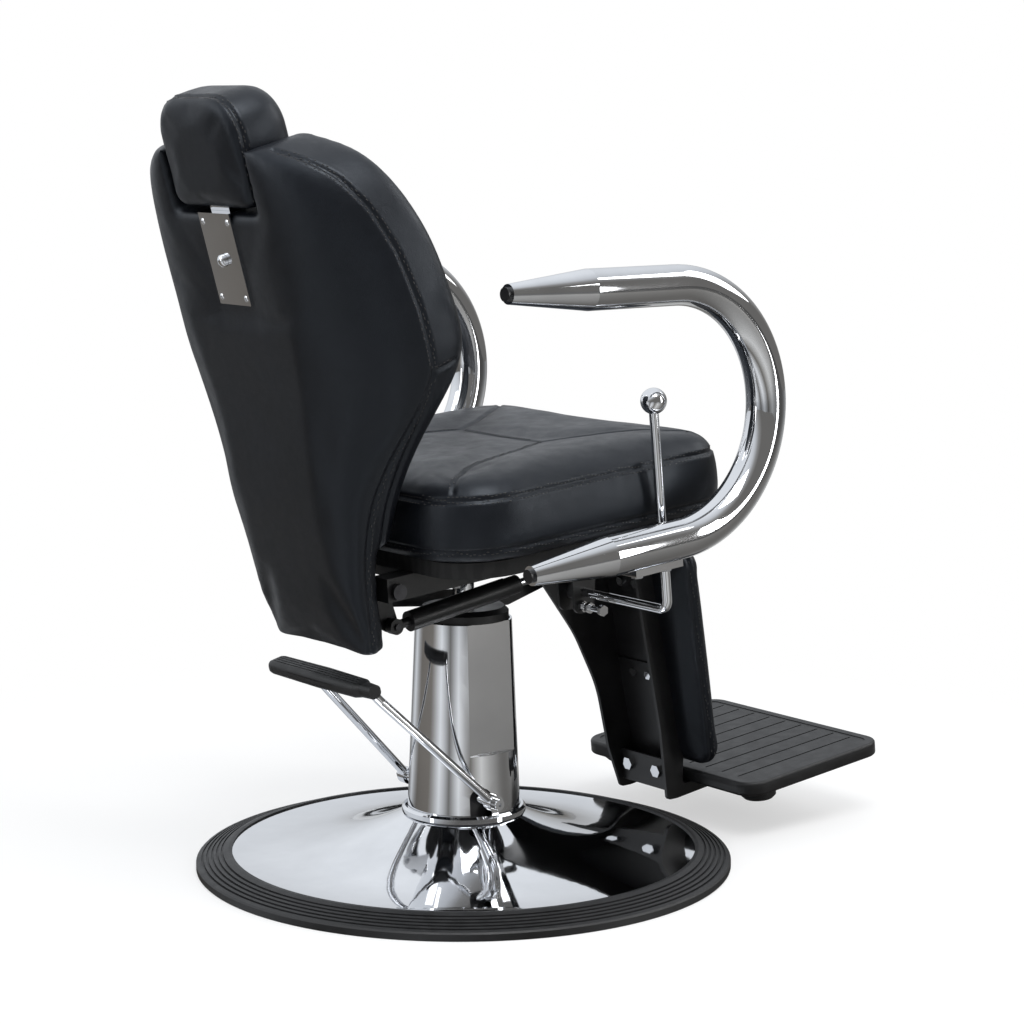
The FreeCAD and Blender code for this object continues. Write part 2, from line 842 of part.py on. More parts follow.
# Swivel socket and the plate that carries it between the tubes
socket_plate_z = rail_height - socket_plate_sheet
socket_plate = box(-rail_in, rail_in, -socket_plate_half, socket_plate_half, socket_plate_z, rail_height)
socket_top = frame_z + socket_plate_z
flare_foot = socket_top - socket_flare_height / 2
flare_top = socket_top + socket_flare_height / 2
socket = cyl_z(socket_radius, socket_foot_z, flare_top)
socket = socket.fuse(Part.makeCone(socket_radius, socket_radius + socket_flare, socket_flare_height,
                                   vec(0, 0, flare_foot)))
socket = socket.cut(on_seat(box(-rail_in, rail_in, -socket_plate_half, socket_plate_half, socket_plate_z,
                                2 * rail_height)))
socket = socket.cut(cyl_z(ram_radius + ram_clearance, socket_foot_z, ram_top + socket_end_clearance))
keep("seat_socket", fused([socket, on_seat(socket_plate)]))


def seat_outline(inset, z, front_radius, rear_radius):
    half = seat_half_width - inset
    corners = [
        vec(-half, seat_front_y + inset, z),
        vec(half, seat_front_y + inset, z),
        vec(half, seat_rear_y - inset, z),
        vec(-half, seat_rear_y - inset, z),
    ]
    return rounded_wire(corners, [front_radius, front_radius, rear_radius, rear_radius], True)


board_z = rail_height
board_top = board_z + board_thickness
board_wire = seat_outline(board_inset, board_z, seat_front_radius - board_inset, seat_rear_radius - board_inset)
seat_board = on_seat(Part.Face(board_wire).extrude(vec(0, 0, board_thickness)))
for drill in drills:
    seat_board = seat_board.cut(drill)
keep("seat_board", seat_board)
seat_bolts = []
for x, y in seat_bolt_spots:
    shank = cyl_z(seat_bolt_radius, 0, bolt_top, x, y)
    head = hexagon(bolt_head_across(seat_bolt_radius), seat_bolt_head, vec(x, y, -seat_bolt_head), vec(0, 0, 1))
    seat_bolts.append(on_seat(shank.fuse(head).removeSplitter()))
keep("seat_bolts", Part.makeCompound(seat_bolts))

# Seat cushion: drawn-in sides, a crown, a scooped middle and sewn channels
levels = [
    (cushion_draw, 0.0),
    (0.2 * cushion_draw, 0.16),
    (0.0, 0.40),
    (0.02 * cushion_round, 0.60),
    (0.08 * cushion_round, 0.76),
    (0.23 * cushion_round, 0.89),
    (0.5 * cushion_round, 0.97),
    (cushion_round, 1.0),
]
sections = []
for inset, share in levels:
    z = board_top + share * cushion_height
    front_round = seat_front_radius - 0.5 * inset
    rear_round = seat_rear_radius - 0.6 * inset
    sections.append(seat_outline(inset, z, front_round, rear_round))
seat_cushion = Part.makeLoft(sections, True, False)
scoop_z = board_top + scoop_height + scoop_radius
scoop_reach = 2 * seat_half_width
scoop = Part.makeCylinder(scoop_radius, 2 * scoop_reach, vec(0, -scoop_reach, scoop_z), vec(0, 1, 0))
seat_cushion = seat_cushion.cut(scoop)
front_seam = [
    (seam_tip_x, seam_tip_y),
    (seam_front_x, seam_front_y),
    (seat_half_width - seam_front_inset, seat_front_y),
]
rear_seam = [
    (seam_tip_x, seam_tip_y),
    (seam_side_x, seam_side_y),
    (seam_rear_x, seam_rear_y),
    (seat_half_width - seam_rear_inset, seat_rear_y - seam_rear_inset / 2),
]
centre_seam = [(-seam_tip_x, seam_tip_y), (seam_tip_x, seam_tip_y)]


def channel_walls(points):
    walls = []
    for (x0, y0), (x1, y1) in zip(points, points[1:]):
        length = math.hypot(x1 - x0, y1 - y0)
        wall = box(0, length, -channel_width / 2, channel_width / 2, board_top, board_top + 2 * cushion_height)
        wall.rotate(vec(0, 0, 0), vec(0, 0, 1), math.degrees(math.atan2(y1 - y0, x1 - x0)))
        wall.translate(vec(x0, y0, 0))
        walls.append(wall)
        walls.append(cyl_z(channel_width / 2, board_top, board_top + 2 * cushion_height, x1, y1))
    return walls


channels = channel_walls(centre_seam)
for side in (-1, 1):
    channels += channel_walls([(side * x, y) for x, y in front_seam])
    channels += channel_walls([(side * x, y) for x, y in rear_seam])
below_skin = seat_cushion.translated(vec(0, 0, -channel_depth))
seat_cushion = seat_cushion.cut(fused(channels).cut(below_skin))
keep("seat_cushion", on_seat(seat_cushion))

# Armrests: bent tubes, tapered ends, plugs and brackets
tilt = math.radians(seat_tilt)
arm_bend_rise = arm_tube_rise + arm_bend_radius - arm_bend_y * math.sin(tilt)
arm_bend_z = frame_z + arm_bend_rise / math.cos(tilt)
arm_top_z = arm_bend_z + arm_bend_radius
arm_low_y = arm_bend_y - arm_bend_radius * math.sin(tilt)
arm_low_z = arm_bend_z - arm_bend_radius * math.cos(tilt)
arm_low_run = (arm_lower_rear_y - arm_low_y) / math.cos(tilt)
arm_low_axis = vec(0, math.cos(tilt), -math.sin(tilt))


def arm_sweep(x, radius):
    start = vec(x, arm_upper_rear_y, arm_top_z)
    bend_start = vec(x, arm_bend_y, arm_top_z)
    bend_end = vec(x, arm_low_y, arm_low_z)
    end = bend_end.add(FreeCAD.Vector(arm_low_axis).multiply(arm_low_run))
    disc = Part.Face(Part.Wire([Part.makeCircle(radius, bend_start, vec(0, -1, 0))]))
    bend = disc.revolve(vec(x, arm_bend_y, arm_bend_z), vec(1, 0, 0), 180 - seat_tilt)
    return fused([cyl_between(radius, start, bend_start), bend, cyl_between(radius, bend_end, end)])


arm_low_end = vec(0, arm_low_y, arm_low_z).add(FreeCAD.Vector(arm_low_axis).multiply(arm_low_run))
tube_local = seat_local(arm_low_y, arm_low_z)
bracket_top = tube_local.z - arm_tube_radius + arm_saddle_rise
bracket_foot = bracket_top - arm_bracket_thickness - arm_saddle_pad
bolt_pitch = arm_bracket_width - 2 * arm_bolt_inset
arm_bolt_across = bolt_head_across(arm_bolt_radius)
arm_bolts = []
arm_ends = []
arm_plugs = []
for side, name in ((-1, "right"), (1, "left")):
    x = side * arm_x
    outer = arm_sweep(x, arm_tube_radius)
    tube = outer.cut(arm_sweep(x, arm_tube_radius - arm_wall))
    inner_x = side * rail_out
    x0 = min(inner_x, x + side * arm_saddle_half)
    x1 = max(inner_x, x + side * arm_saddle_half)
    y0 = arm_bracket_y - arm_bracket_width / 2
    y1 = arm_bracket_y + arm_bracket_width / 2
    arm_plate = box(x0, x1, y0, y1, bracket_foot, bracket_foot + arm_bracket_thickness)
    saddle = box(x - arm_saddle_half, x + arm_saddle_half, y0, y1, bracket_foot, bracket_top)
    face_x = inner_x + side * arm_bracket_thickness
    flange = box(min(inner_x, face_x), max(inner_x, face_x), y0, y1, arm_flange_lift,
                 bracket_foot + arm_flange_lift)
    bracket = on_seat(fused([arm_plate, saddle, flange])).cut(outer)
    bolts = []
    for step in (-0.5, 0.5):
        y = arm_bracket_y + step * bolt_pitch
        up = cyl_z(arm_bolt_radius, bracket_foot, bracket_foot + arm_bolt_reach, x, y)
        head = hexagon(arm_bolt_across, arm_bolt_head, vec(x, y, bracket_foot - arm_bolt_head), vec(0, 0, 1))
        bolts.append(on_seat(up.fuse(head).removeSplitter()))
        tip = inner_x - side * arm_bolt_bite
        across = cyl_x(arm_bolt_radius, min(tip, face_x), max(tip, face_x), y, arm_bolt_z)
        side_head = hexagon(arm_bolt_across, arm_bolt_head, vec(face_x, y, arm_bolt_z), vec(side, 0, 0))
        bolts.append(on_seat(across.fuse(side_head).removeSplitter()))
    for bolt in bolts:
        tube = tube.cut(bolt)
        bracket = bracket.cut(bolt)
        seat_frame = seat_frame.cut(bolt)
    keep("armrest_" + name, tube)
    keep("armrest_bracket_" + name, bracket)
    arm_bolts += bolts
    top_end = vec(x, arm_upper_rear_y, arm_top_z)
    top_tip = top_end.add(vec(0, arm_cone_length, 0))
    low_end = arm_low_end.add(vec(x, 0, 0))
    low_tip = low_end.add(FreeCAD.Vector(arm_low_axis).multiply(arm_cone_length))
    upper_cone = cone_between(arm_tube_radius, arm_cone_tip_radius, top_end, top_tip)
    lower_cone = cone_between(arm_tube_radius, arm_cone_tip_radius, low_end, low_tip)
    arm_ends += [upper_cone, lower_cone]
    plug_top = cyl_between(arm_plug_radius, top_tip, top_tip.add(vec(0, arm_plug_length, 0)))
    plug_low = cyl_between(arm_plug_radius, low_tip,
                           low_tip.add(FreeCAD.Vector(arm_low_axis).multiply(arm_plug_length)))
    arm_plugs += [plug_top, plug_low]
keep("armrest_bolts", Part.makeCompound(arm_bolts))
keep("armrest_ends", Part.makeCompound(arm_ends))
keep("armrest_plugs", Part.makeCompound(arm_plugs))
keep("seat_frame", seat_frame)

# Hinge pins of the back and the shaft of the footrest
recline_pins = []
for side in (-1, 1):
    inner = side * (bracket_x - bracket_thickness)
    outer = side * (rail_out + hinge_pin_stand)
    head_end = outer + side * hinge_head_length
    pin = cyl_x(hinge_pin_radius, min(inner, outer), max(inner, outer), recline_y, recline_z)
    head = cyl_x(hinge_pin_radius + hinge_head_step, min(outer, head_end), max(outer, head_end),
                 recline_y, recline_z)
    recline_pins.append(pin.fuse(head).removeSplitter())
shaft_half = lug_outer + foot_shaft_stand
foot_shaft = cyl_x(hinge_pin_radius, -shaft_half, shaft_half, foot_hinge_y, foot_hinge_z)

# Lever bracket: a fork under the right tube that holds the spring pin and the lever
fork_mid_y = seat_local(spring_front_y, spring_front_z).y
fork_plate = box(spring_x - fork_side, spring_x + fork_half + fork_sheet, fork_mid_y - fork_front,
                 fork_mid_y + fork_rear, -fork_sheet, 0)
ears = []
for x0 in (spring_x - fork_half - fork_sheet, spring_x + fork_half):
    ears.append(plate_x([
        (spring_front_y + ear_half, spring_front_z + ear_rise),
        (spring_front_y - ear_front, spring_front_z + ear_rise),
        (lever_y - ear_half, lever_z - stop_drop - ear_round),
        (lever_y + ear_half, lever_z - stop_drop - ear_round),
    ], [0, 0, ear_round, ear_round], x0, x0 + fork_sheet))
lever_bracket = fused([on_seat(fork_plate)] + ears)
lever_bracket = lever_bracket.cut(on_seat(box(-frame_reach, 0, -frame_reach, 0, 0, 2 * rail_height)))
lever_bracket = lever_bracket.cut(cyl_x(spring_pin_radius, -frame_reach, 0, spring_front_y, spring_front_z))
lever_bracket = lever_bracket.cut(cyl_x(lever_rod_radius + lever_clearance, -frame_reach, 0, lever_y, lever_z))
pin_half = fork_half + fork_sheet + spring_pin_stand
spring_pin_front = cyl_x(spring_pin_radius, spring_x - pin_half, spring_x + pin_half,
                         spring_front_y, spring_front_z)
keep("hinge_pins", Part.makeCompound(recline_pins + [foot_shaft, spring_pin_front]))

# Line of the gas spring, from its rear eye on the back to its front eye on the seat frame
spring_rear = vec(spring_x, spring_rear_y, spring_rear_z)
spring_front = vec(spring_x, spring_front_y, spring_front_z)
spring_axis = spring_front.sub(spring_rear)
spring_span = spring_axis.Length
spring_axis.normalize()


def along(distance):
    return spring_rear.add(FreeCAD.Vector(spring_axis).multiply(distance))


# Release lever, its ball and the finger that presses the spring's release pin
lean_rad = math.radians(lever_lean)
lever_corner = vec(lever_x, lever_y, lever_z)
lever_top = lever_corner.add(vec(0, lever_height * math.sin(lean_rad), lever_height * math.cos(lean_rad)))
lever_end = spring_x + fork_half + fork_sheet + lever_end_stand
keep("release_lever", rod([vec(lever_end, lever_y, lever_z), lever_corner, lever_top], lever_rod_radius,
                          lever_bend_radius))
ball = Part.makeSphere(lever_ball_radius, lever_top.add(vec(0, 0, lever_ball_radius * 0.6)))
ball = ball.cut(cyl_between(lever_rod_radius, lever_corner, lever_top))
keep("lever_ball", ball)
release_tip = along(spring_span + release_pin_reach)
finger_rear = release_tip.y - finger_press_gap
finger_top = release_tip.z + spring_rod_radius + finger_overlap
finger_bend_z = lever_z + finger_hub + finger_step
finger_radii = [finger_round] * 2 + [finger_round / 2] * 3 + [finger_round] * 2
finger = plate_x([
    (lever_y + finger_hub, lever_z - finger_hub),
    (lever_y + finger_hub, lever_z + finger_hub),
    (finger_rear, finger_bend_z),
    (finger_rear, finger_top),
    (finger_rear - finger_thickness, finger_top),
    (finger_rear - finger_thickness, finger_bend_z),
    (lever_y - finger_hub, lever_z - finger_hub),
], finger_radii, spring_x - finger_half, spring_x + finger_half)
finger.rotate(vec(0, lever_y, lever_z), vec(1, 0, 0), lever_throw)
finger = finger.cut(cyl_x(lever_rod_radius, spring_x - finger_half, spring_x + finger_half, lever_y, lever_z))
keep("lever_finger", finger)
ear_x = spring_x - fork_half - fork_sheet
stop_y = lever_y + stop_setback
stop_z = lever_z - stop_drop
stop = cyl_x(stop_radius, ear_x - stop_length, ear_x + fork_sheet + stop_radius, stop_y, stop_z)
stop_nuts = []
for reach in (stop_length, stop_nut_mid, stop_nut_inner):
    stop_nuts.append(hexagon(bolt_head_across(stop_radius), stop_nut, vec(ear_x - reach, stop_y, stop_z),
                             vec(1, 0, 0)))
stop_bolt = fused([stop] + stop_nuts)
keep("lever_stop_bolt", stop_bolt)
keep("lever_bracket", lever_bracket.cut(stop))

# Gas spring: the cylinder hangs on the back, the rod on the seat frame
spring_bore = spring_rod_radius + spring_mouth_clearance
cap_foot = along(spring_length - spring_cap_length)
gas_cylinder = cyl_between(spring_radius, along(spring_eye_length), cap_foot)
gas_cylinder = gas_cylinder.cut(cyl_between(spring_bore + spring_bore_step, along(spring_bore_foot), cap_foot))
gas_cap = cyl_between(spring_radius - spring_cap_step, cap_foot, along(spring_length))
gas_cap = gas_cap.cut(cyl_between(spring_bore, cap_foot, along(spring_length)))
eye_x0 = spring_x - spring_eye_half
eye_x1 = spring_x + spring_eye_half
eye_bore = spring_pin_radius + hinge_clearance
eye = cyl_x(spring_eye_radius, eye_x0, eye_x1, spring_rear_y, spring_rear_z)
eye = eye.fuse(cyl_between(spring_neck_radius, along(0), along(spring_eye_length)))
eye = eye.cut(cyl_x(eye_bore, eye_x0, eye_x1, spring_rear_y, spring_rear_z))
keep("gas_cylinder", fused([gas_cylinder, gas_cap, eye]))
rod_end = along(spring_span - rod_head_length)
head_top = along(spring_span + rod_head_stand)
keep("gas_rod", cyl_between(spring_rod_radius, along(spring_length - rod_depth), rod_end))
head = cyl_between(rod_head_radius, rod_end, head_top)
head = head.fuse(cyl_between(release_pin_radius, head_top, release_tip))
head = head.cut(cyl_x(eye_bore, spring_x - rod_head_radius, spring_x + rod_head_radius, spring_front_y,
                      spring_front_z))
keep("gas_rod_head", head.removeSplitter())


# Cranked link bar from the back to the footrest
def slot_x(y0, z0, y1, z1, half, x0, x1):
    start = vec(x0, y0, z0)
    end = vec(x0, y1, z1)
    run = end.sub(start)
    side_dir = vec(0, -run.z, run.y)
    side_dir.normalize()
    off = FreeCAD.Vector(side_dir).multiply(half)
    corners = [start.add(off), end.add(off), end.sub(off), start.sub(off), start.add(off)]
    slab = Part.Face(Part.makePolygon(corners)).extrude(vec(x1 - x0, 0, 0))
    return slab.fuse(cyl_x(half, x0, x1, y0, z0)).fuse(cyl_x(half, x0, x1, y1, z1))


link_x0 = link_x - link_thickness / 2
link_x1 = link_x + link_thickness / 2
link_half = link_width / 2
link_bar = fused([
    slot_x(link_rear_y, link_rear_z, link_bend_y, link_bend_z, link_half, link_x0, link_x1),
    slot_x(link_bend_y, link_bend_z, link_front_y, link_front_z, link_half, link_x0, link_x1),
])
link_hole = link_pin_radius + hinge_clearance
link_bar = link_bar.cut(cyl_x(link_hole, link_x0, link_x1, link_rear_y, link_rear_z))
link_bar = link_bar.cut(cyl_x(link_hole, link_x0, link_x1, link_front_y, link_front_z))
keep("link_bar", link_bar)


# Back: one padded body, split along the seam into the rear shell and the front cushion.
# Each row gives the height, the half width and the depths of the seam, the wing and the middle,
# as shares of the back's height, half width and depth.
back_rows = [
    (-0.013, 0.398, 0.178, 0.349, 0.312),
    (0.095, 0.425, 0.224, 0.395, 0.342),
    (0.190, 0.492, 0.263, 0.434, 0.368),
    (0.286, 0.596, 0.329, 0.513, 0.408),
    (0.381, 0.738, 0.434, 0.645, 0.474),
    (0.476, 0.912, 0.553, 0.816, 0.539),
    (0.556, 1.000, 0.618, 0.974, 0.592),
    (0.667, 1.000, 0.612, 1.000, 0.632),
    (0.778, 0.963, 0.566, 0.961, 0.618),
    (0.865, 0.896, 0.480, 0.882, 0.592),
    (0.932, 0.792, 0.368, 0.789, 0.553),
    (0.971, 0.658, 0.250, 0.697, 0.513),
    (1.000, 0.483, 0.132, 0.579, 0.447),
]
seam_centre = back_board_w + back_board_thickness
seam_flat = back_board_half + 2


def back_sizes(row):
    v, half, seam, wing, centre = row
    return v * back_height, half * back_half_width, seam * back_depth, wing * back_depth, centre * back_depth


def back_section(row):
    v, half, seam, wing, centre = back_sizes(row)
    strip = min(back_strip_half, half - back_strip_inset)
    mid_u = (strip + half) / 2 + 0.16 * seam
    mid_w = seam / 2 - 0.16 * (half - strip)
    round_in = 0.3 * back_edge_round
    points = [(-strip, 0), (strip, 0), (mid_u, mid_w), (half, seam), (half, wing - back_edge_round),
              (half - round_in, wing - round_in), (half - back_edge_round, wing), (0, centre)]
    p = [vec(u, -w, v) for u, w in points]
    m = [vec(-u, -w, v) for u, w in points]
    return Part.Wire([
        Part.makeLine(p[0], p[1]),
        Part.Arc(p[1], p[2], p[3]).toShape(),
        Part.makeLine(p[3], p[4]),
        Part.Arc(p[4], p[5], p[6]).toShape(),
        Part.Arc(p[6], p[7], m[6]).toShape(),
        Part.Arc(m[6], m[5], m[4]).toShape(),
        Part.makeLine(m[4], m[3]),
        Part.Arc(m[3], m[2], m[1]).toShape(),
    ])


def divider_section(row):
    v, half, seam, wing, centre = back_sizes(row)
    reach = half + back_half_width / 4
    far = seam_centre + (seam - seam_centre) * (reach - seam_flat) / (half - seam_flat)
    points = [(-reach, -back_depth), (reach, -back_depth), (reach, far), (seam_flat, seam_centre),
              (-seam_flat, seam_centre), (-reach, far)]
    corners = [vec(u, -w, v) for u, w in points]
    return Part.makePolygon(corners + [corners[0]])


back_body = Part.makeLoft([back_section(row) for row in back_rows], True, False)
low_row = (-0.04,) + back_rows[0][1:]
high_row = (1.05,) + back_rows[-1][1:]
divider = Part.makeLoft([divider_section(row) for row in [low_row] + back_rows + [high_row]], True, False)
behind = back_depth
ahead = -2 * back_depth
notch = box(-notch_half, notch_half, ahead, behind, notch_foot, 2 * back_height)
back_body = back_body.cut(notch)
back_shell = back_body.common(divider)
below_cushion = box(-2 * back_half_width, 2 * back_half_width, ahead, behind, -back_depth, back_cushion_foot)
back_cushion = back_body.cut(divider).cut(below_cushion)
back_board = box(-back_board_half, back_board_half, -seam_centre, -back_board_w, back_board_foot,
                 back_board_top)
back_shell = back_shell.cut(back_board)

# Headrest guide, chrome plate, screws, bar and button
bar_w0 = headrest_bar_w
bar_w1 = headrest_bar_w + headrest_bar_thickness
guide_half = headrest_bar_half + guide_wall + slide_clearance
guide_foot = headrest_plate_foot + guide_foot_inset
guide_top = headrest_plate_top - guide_top_inset
guide_w0 = bar_w0 - guide_wall - slide_clearance
guide_w1 = bar_w1 + guide_wall + slide_clearance
plate_mid = (headrest_plate_foot + headrest_plate_top) / 2
slot_half = headrest_bar_half + slide_clearance
slot_foot = headrest_bar_foot - headrest_slot_end
slot_top = notch_foot + 2 * headrest_plate_sheet
bar_slot = box(-slot_half, slot_half, -bar_w1 - slide_clearance, -bar_w0 + slide_clearance, slot_foot, slot_top)
hole_radius = headrest_button_radius + slide_clearance
button_hole = Part.makeCylinder(hole_radius, headrest_plate_sheet + guide_w1,
                                vec(0, headrest_plate_sheet, plate_mid), vec(0, -1, 0))
button_well = button_hole.common(box(-hole_radius, hole_radius, -bar_w0, behind, 0, back_height))
guide_block = box(-guide_half, guide_half, -guide_w1, -guide_w0, guide_foot, guide_top)
guide = guide_block.cut(bar_slot).cut(button_well)
front_sheet = headrest_plate_sheet
headrest_plate = box(-headrest_plate_half, headrest_plate_half, 0, front_sheet, headrest_plate_foot,
                     headrest_plate_top + front_sheet)
fold = box(-headrest_plate_half, headrest_plate_half, -headrest_fold_depth, 0, notch_foot,
           notch_foot + front_sheet)
headrest_plate = headrest_plate.fuse(fold).removeSplitter()
headrest_plate = headrest_plate.cut(button_hole).cut(bar_slot)
dome_centre = front_sheet + screw_dome_height - screw_dome_radius
slot_face = front_sheet + screw_dome_height - screw_slot_depth
plate_screws = []
screw_cuts = []
for u in (-headrest_plate_half + screw_inset, headrest_plate_half - screw_inset):
    for v in (headrest_plate_foot + screw_drop, headrest_plate_top - screw_drop):
        shank = Part.makeCylinder(screw_shank_radius, screw_shank_length, vec(u, front_sheet, v), vec(0, -1, 0))
        dome = Part.makeSphere(screw_dome_radius, vec(u, dome_centre, v))
        dome = dome.common(box(u - screw_dome_radius, u + screw_dome_radius, front_sheet, behind,
                               v - screw_dome_radius, v + screw_dome_radius))
        slot_cut = box(u - screw_dome_radius, u + screw_dome_radius, slot_face, behind,
                       v - screw_slot_width / 2, v + screw_slot_width / 2)
        plate_screws.append(shank.fuse(dome).cut(slot_cut))
        screw_cuts.append(shank)
for cut in screw_cuts:
    headrest_plate = headrest_plate.cut(cut)
    back_shell = back_shell.cut(cut)
    guide = guide.cut(cut)
shell_well = button_hole.common(box(-hole_radius, hole_radius, -guide_w0, behind, 0, back_height))
back_shell = back_shell.cut(guide_block).cut(bar_slot).cut(shell_well)
keep("headrest_plate", on_back(headrest_plate))
keep("plate_screws", Part.makeCompound([on_back(s) for s in plate_screws]))
keep("headrest_guide", on_back(guide))
button_face = vec(0, front_sheet + button_stand, plate_mid)
button = Part.makeCylinder(headrest_button_radius, button_length, button_face, vec(0, -1, 0))
crown_radius = 1.25 * headrest_button_radius
crown_sink = math.sqrt(crown_radius ** 2 - headrest_button_radius ** 2)
button_dome = Part.makeSphere(crown_radius, button_face.sub(vec(0, crown_sink, 0)))
button_column = Part.makeCylinder(headrest_button_radius, crown_radius, button_face, vec(0, 1, 0))
button_dome = button_dome.common(button_column)
keep("headrest_button", on_back(button.fuse(button_dome).removeSplitter()))

bar_top = headrest_foot + headrest_bar_bury
headrest_bar = box(-headrest_bar_half, headrest_bar_half, -bar_w1, -bar_w0, headrest_bar_foot, bar_top)


def headrest_outline(w, share):
    inset = share * headrest_draw
    half = headrest_half - inset
    top_round = headrest_top_round - 0.65 * inset
    foot_round = headrest_foot_round - 0.2 * inset
    corners = [
        vec(-half, -w, headrest_foot + inset * 0.7),
        vec(half, -w, headrest_foot + inset * 0.7),
        vec(half, -w, headrest_top - inset),
        vec(-half, -w, headrest_top - inset),
    ]
    return rounded_wire(corners, [foot_round, foot_round, top_round, top_round], True)


headrest_pad = Part.makeLoft([
    headrest_outline(-headrest_rear_crown, 0.4),
    headrest_outline(headrest_depth * 0.07, 0.09),
    headrest_outline(headrest_depth * 0.35, 0.0),
    headrest_outline(headrest_depth * 0.7, 0.06),
    headrest_outline(headrest_depth * 0.92, 0.4),
    headrest_outline(headrest_depth, 1.0),
], True, False)
keep("headrest_bar", on_back(headrest_bar))
keep("headrest_pad", on_back(headrest_pad.cut(headrest_bar)))

# Hinge brackets on the back board
pivot = back_local(recline_y, recline_z)
spring_eye = back_local(spring_rear_y, spring_rear_z)
link_eye = back_local(link_rear_y, link_rear_z)
bracket_reach = 2 * bracket_x
pivot_bore = hinge_pin_radius + hinge_clearance
web_radii = [0, 0] + [bracket_pivot_round] * 2 + [bracket_eye_round] * 2
bracket_bolts = []
for side, name, eye_at in ((-1, "right", spring_eye), (1, "left", link_eye)):
    x0 = min(side * (bracket_x - bracket_thickness / 2), side * (bracket_x + bracket_thickness / 2))
    web = plate_x([
        (-seam_centre, bracket_flange_foot - bracket_web_drop),
        (-seam_centre, bracket_flange_top),
        (pivot.y, pivot.z + bracket_pivot_margin),
        (pivot.y - bracket_pivot_margin, pivot.z),
        (eye_at.y - bracket_eye_margin, eye_at.z),
        (eye_at.y, eye_at.z - bracket_eye_margin),
    ], web_radii, x0, x0 + bracket_thickness)
    flange_end = side * (bracket_x + bracket_thickness / 2)
    f0 = min(side * bracket_flange_inner, flange_end)
    f1 = max(side * bracket_flange_inner, flange_end)
    flange = box(f0, f1, -seam_centre - bracket_flange, -seam_centre, bracket_flange_foot, bracket_flange_top)
    bracket = web.fuse(flange).removeSplitter()
    bracket = bracket.cut(cyl_x(pivot_bore, -bracket_reach, bracket_reach, pivot.y, pivot.z))
    pin_radius = spring_pin_radius if side < 0 else link_pin_radius
    bracket = bracket.cut(cyl_x(pin_radius, -bracket_reach, bracket_reach, eye_at.y, eye_at.z))
    for v in (bracket_flange_foot + bracket_bolt_inset, bracket_flange_top - bracket_bolt_inset):
        spot = vec(side * bracket_bolt_x, -seam_centre - bracket_flange, v)
        shank = Part.makeCylinder(bracket_bolt_radius, bracket_flange + bracket_bolt_bite, spot, vec(0, 1, 0))
        bolt_head = hexagon(bolt_head_across(bracket_bolt_radius), bracket_bolt_head, spot, vec(0, -1, 0))
        bracket = bracket.cut(shank)
        back_board = back_board.cut(shank)
        bracket_bolts.append(on_back(shank.fuse(bolt_head).removeSplitter()))
    keep("back_bracket_" + name, on_back(bracket))
keep("bracket_bolts", Part.makeCompound(bracket_bolts))
keep("back_board", on_back(back_board))
keep("back_shell", on_back(back_shell))
keep("back_cushion", on_back(back_cushion))
bracket_face = bracket_x - bracket_thickness / 2
spring_pin = cyl_x(spring_pin_radius, eye_x0 - spring_pin_stand, -bracket_face, spring_rear_y, spring_rear_z)
link_head_x = link_x1 + link_pin_gap
link_head_end = link_head_x + link_pin_head
rear_pin = cyl_x(link_pin_radius, bracket_face, link_head_x, link_rear_y, link_rear_z)
link_head_radius = link_pin_radius + link_pin_step
rear_pin = rear_pin.fuse(cyl_x(link_head_radius, link_head_x, link_head_end, link_rear_y, link_rear_z))
keep("back_pins", Part.makeCompound([spring_pin, rear_pin.removeSplitter()]))


# Footrest: two flat bars, the left one with a curved web, a sheet, the calf pad and the footplate
CALF = FreeCAD.Placement(vec(0, calf_top_y, calf_top_z), FreeCAD.Rotation(vec(1, 0, 0), -calf_lean))
TREAD = FreeCAD.Placement(vec(0, tread_rear_y, tread_rear_z), FreeCAD.Rotation(vec(1, 0, 0), -tread_rise))


def on_calf(shape):
    return shape.transformed(CALF.toMatrix())


def on_tread(shape):
    return shape.transformed(TREAD.toMatrix())


calf_height = (calf_top_z - calf_foot_z) / math.cos(math.radians(calf_lean))
plate_head = CALF.multVec(vec(0, 0, -foot_bar_drop))
plate_foot = CALF.multVec(vec(0, 0, -calf_height + foot_bar_rise))
arm_rear = TREAD.multVec(vec(0, tread_arm_rear, -tread_thickness))
arm_front = TREAD.multVec(vec(0, -tread_arm_length, -tread_thickness))
bar_knee = CALF.multVec(vec(0, foot_bar_width, -calf_height * 0.82))
bar_neck = CALF.multVec(vec(0, foot_bar_width, foot_hinge_z - foot_lug_half - calf_top_z))
foot_outline = [
    (foot_tip_y, foot_tip_z),
    (foot_tip_y - foot_tip_width, foot_tip_z),
    (arm_front.y, arm_front.z - tread_arm_depth),
    (arm_front.y, arm_front.z),
    (arm_rear.y, arm_rear.z),
    (plate_foot.y, plate_foot.z),
    (plate_head.y, plate_head.z),
]
foot_radii = [foot_corner, foot_heel_round, foot_corner / 2, foot_corner / 2, foot_corner, 0, foot_corner]
bar_profile = [
    (foot_hinge_y + foot_lug_half, foot_hinge_z + foot_lug_half),
    (foot_hinge_y + foot_lug_half, foot_hinge_z - foot_lug_half),
    (bar_neck.y, bar_neck.z),
    (bar_knee.y, bar_knee.z),
] + foot_outline
bar_radii = [foot_lug_round, foot_lug_round, foot_heel_round, foot_knee_round] + foot_radii
web_profile = [
    (foot_hinge_y + foot_lug_half, foot_hinge_z + foot_lug_half),
    (foot_hinge_y + foot_lug_half, foot_hinge_z - web_neck_drop),
    (web_high_y, web_high_z),
    (web_mid_y, web_mid_z),
    (web_low_y, web_low_z),
] + foot_outline
web_radii = [foot_lug_round, web_neck_round, web_round, web_round, foot_knee_round] + foot_radii
shaft_hole = hinge_pin_radius + hinge_clearance
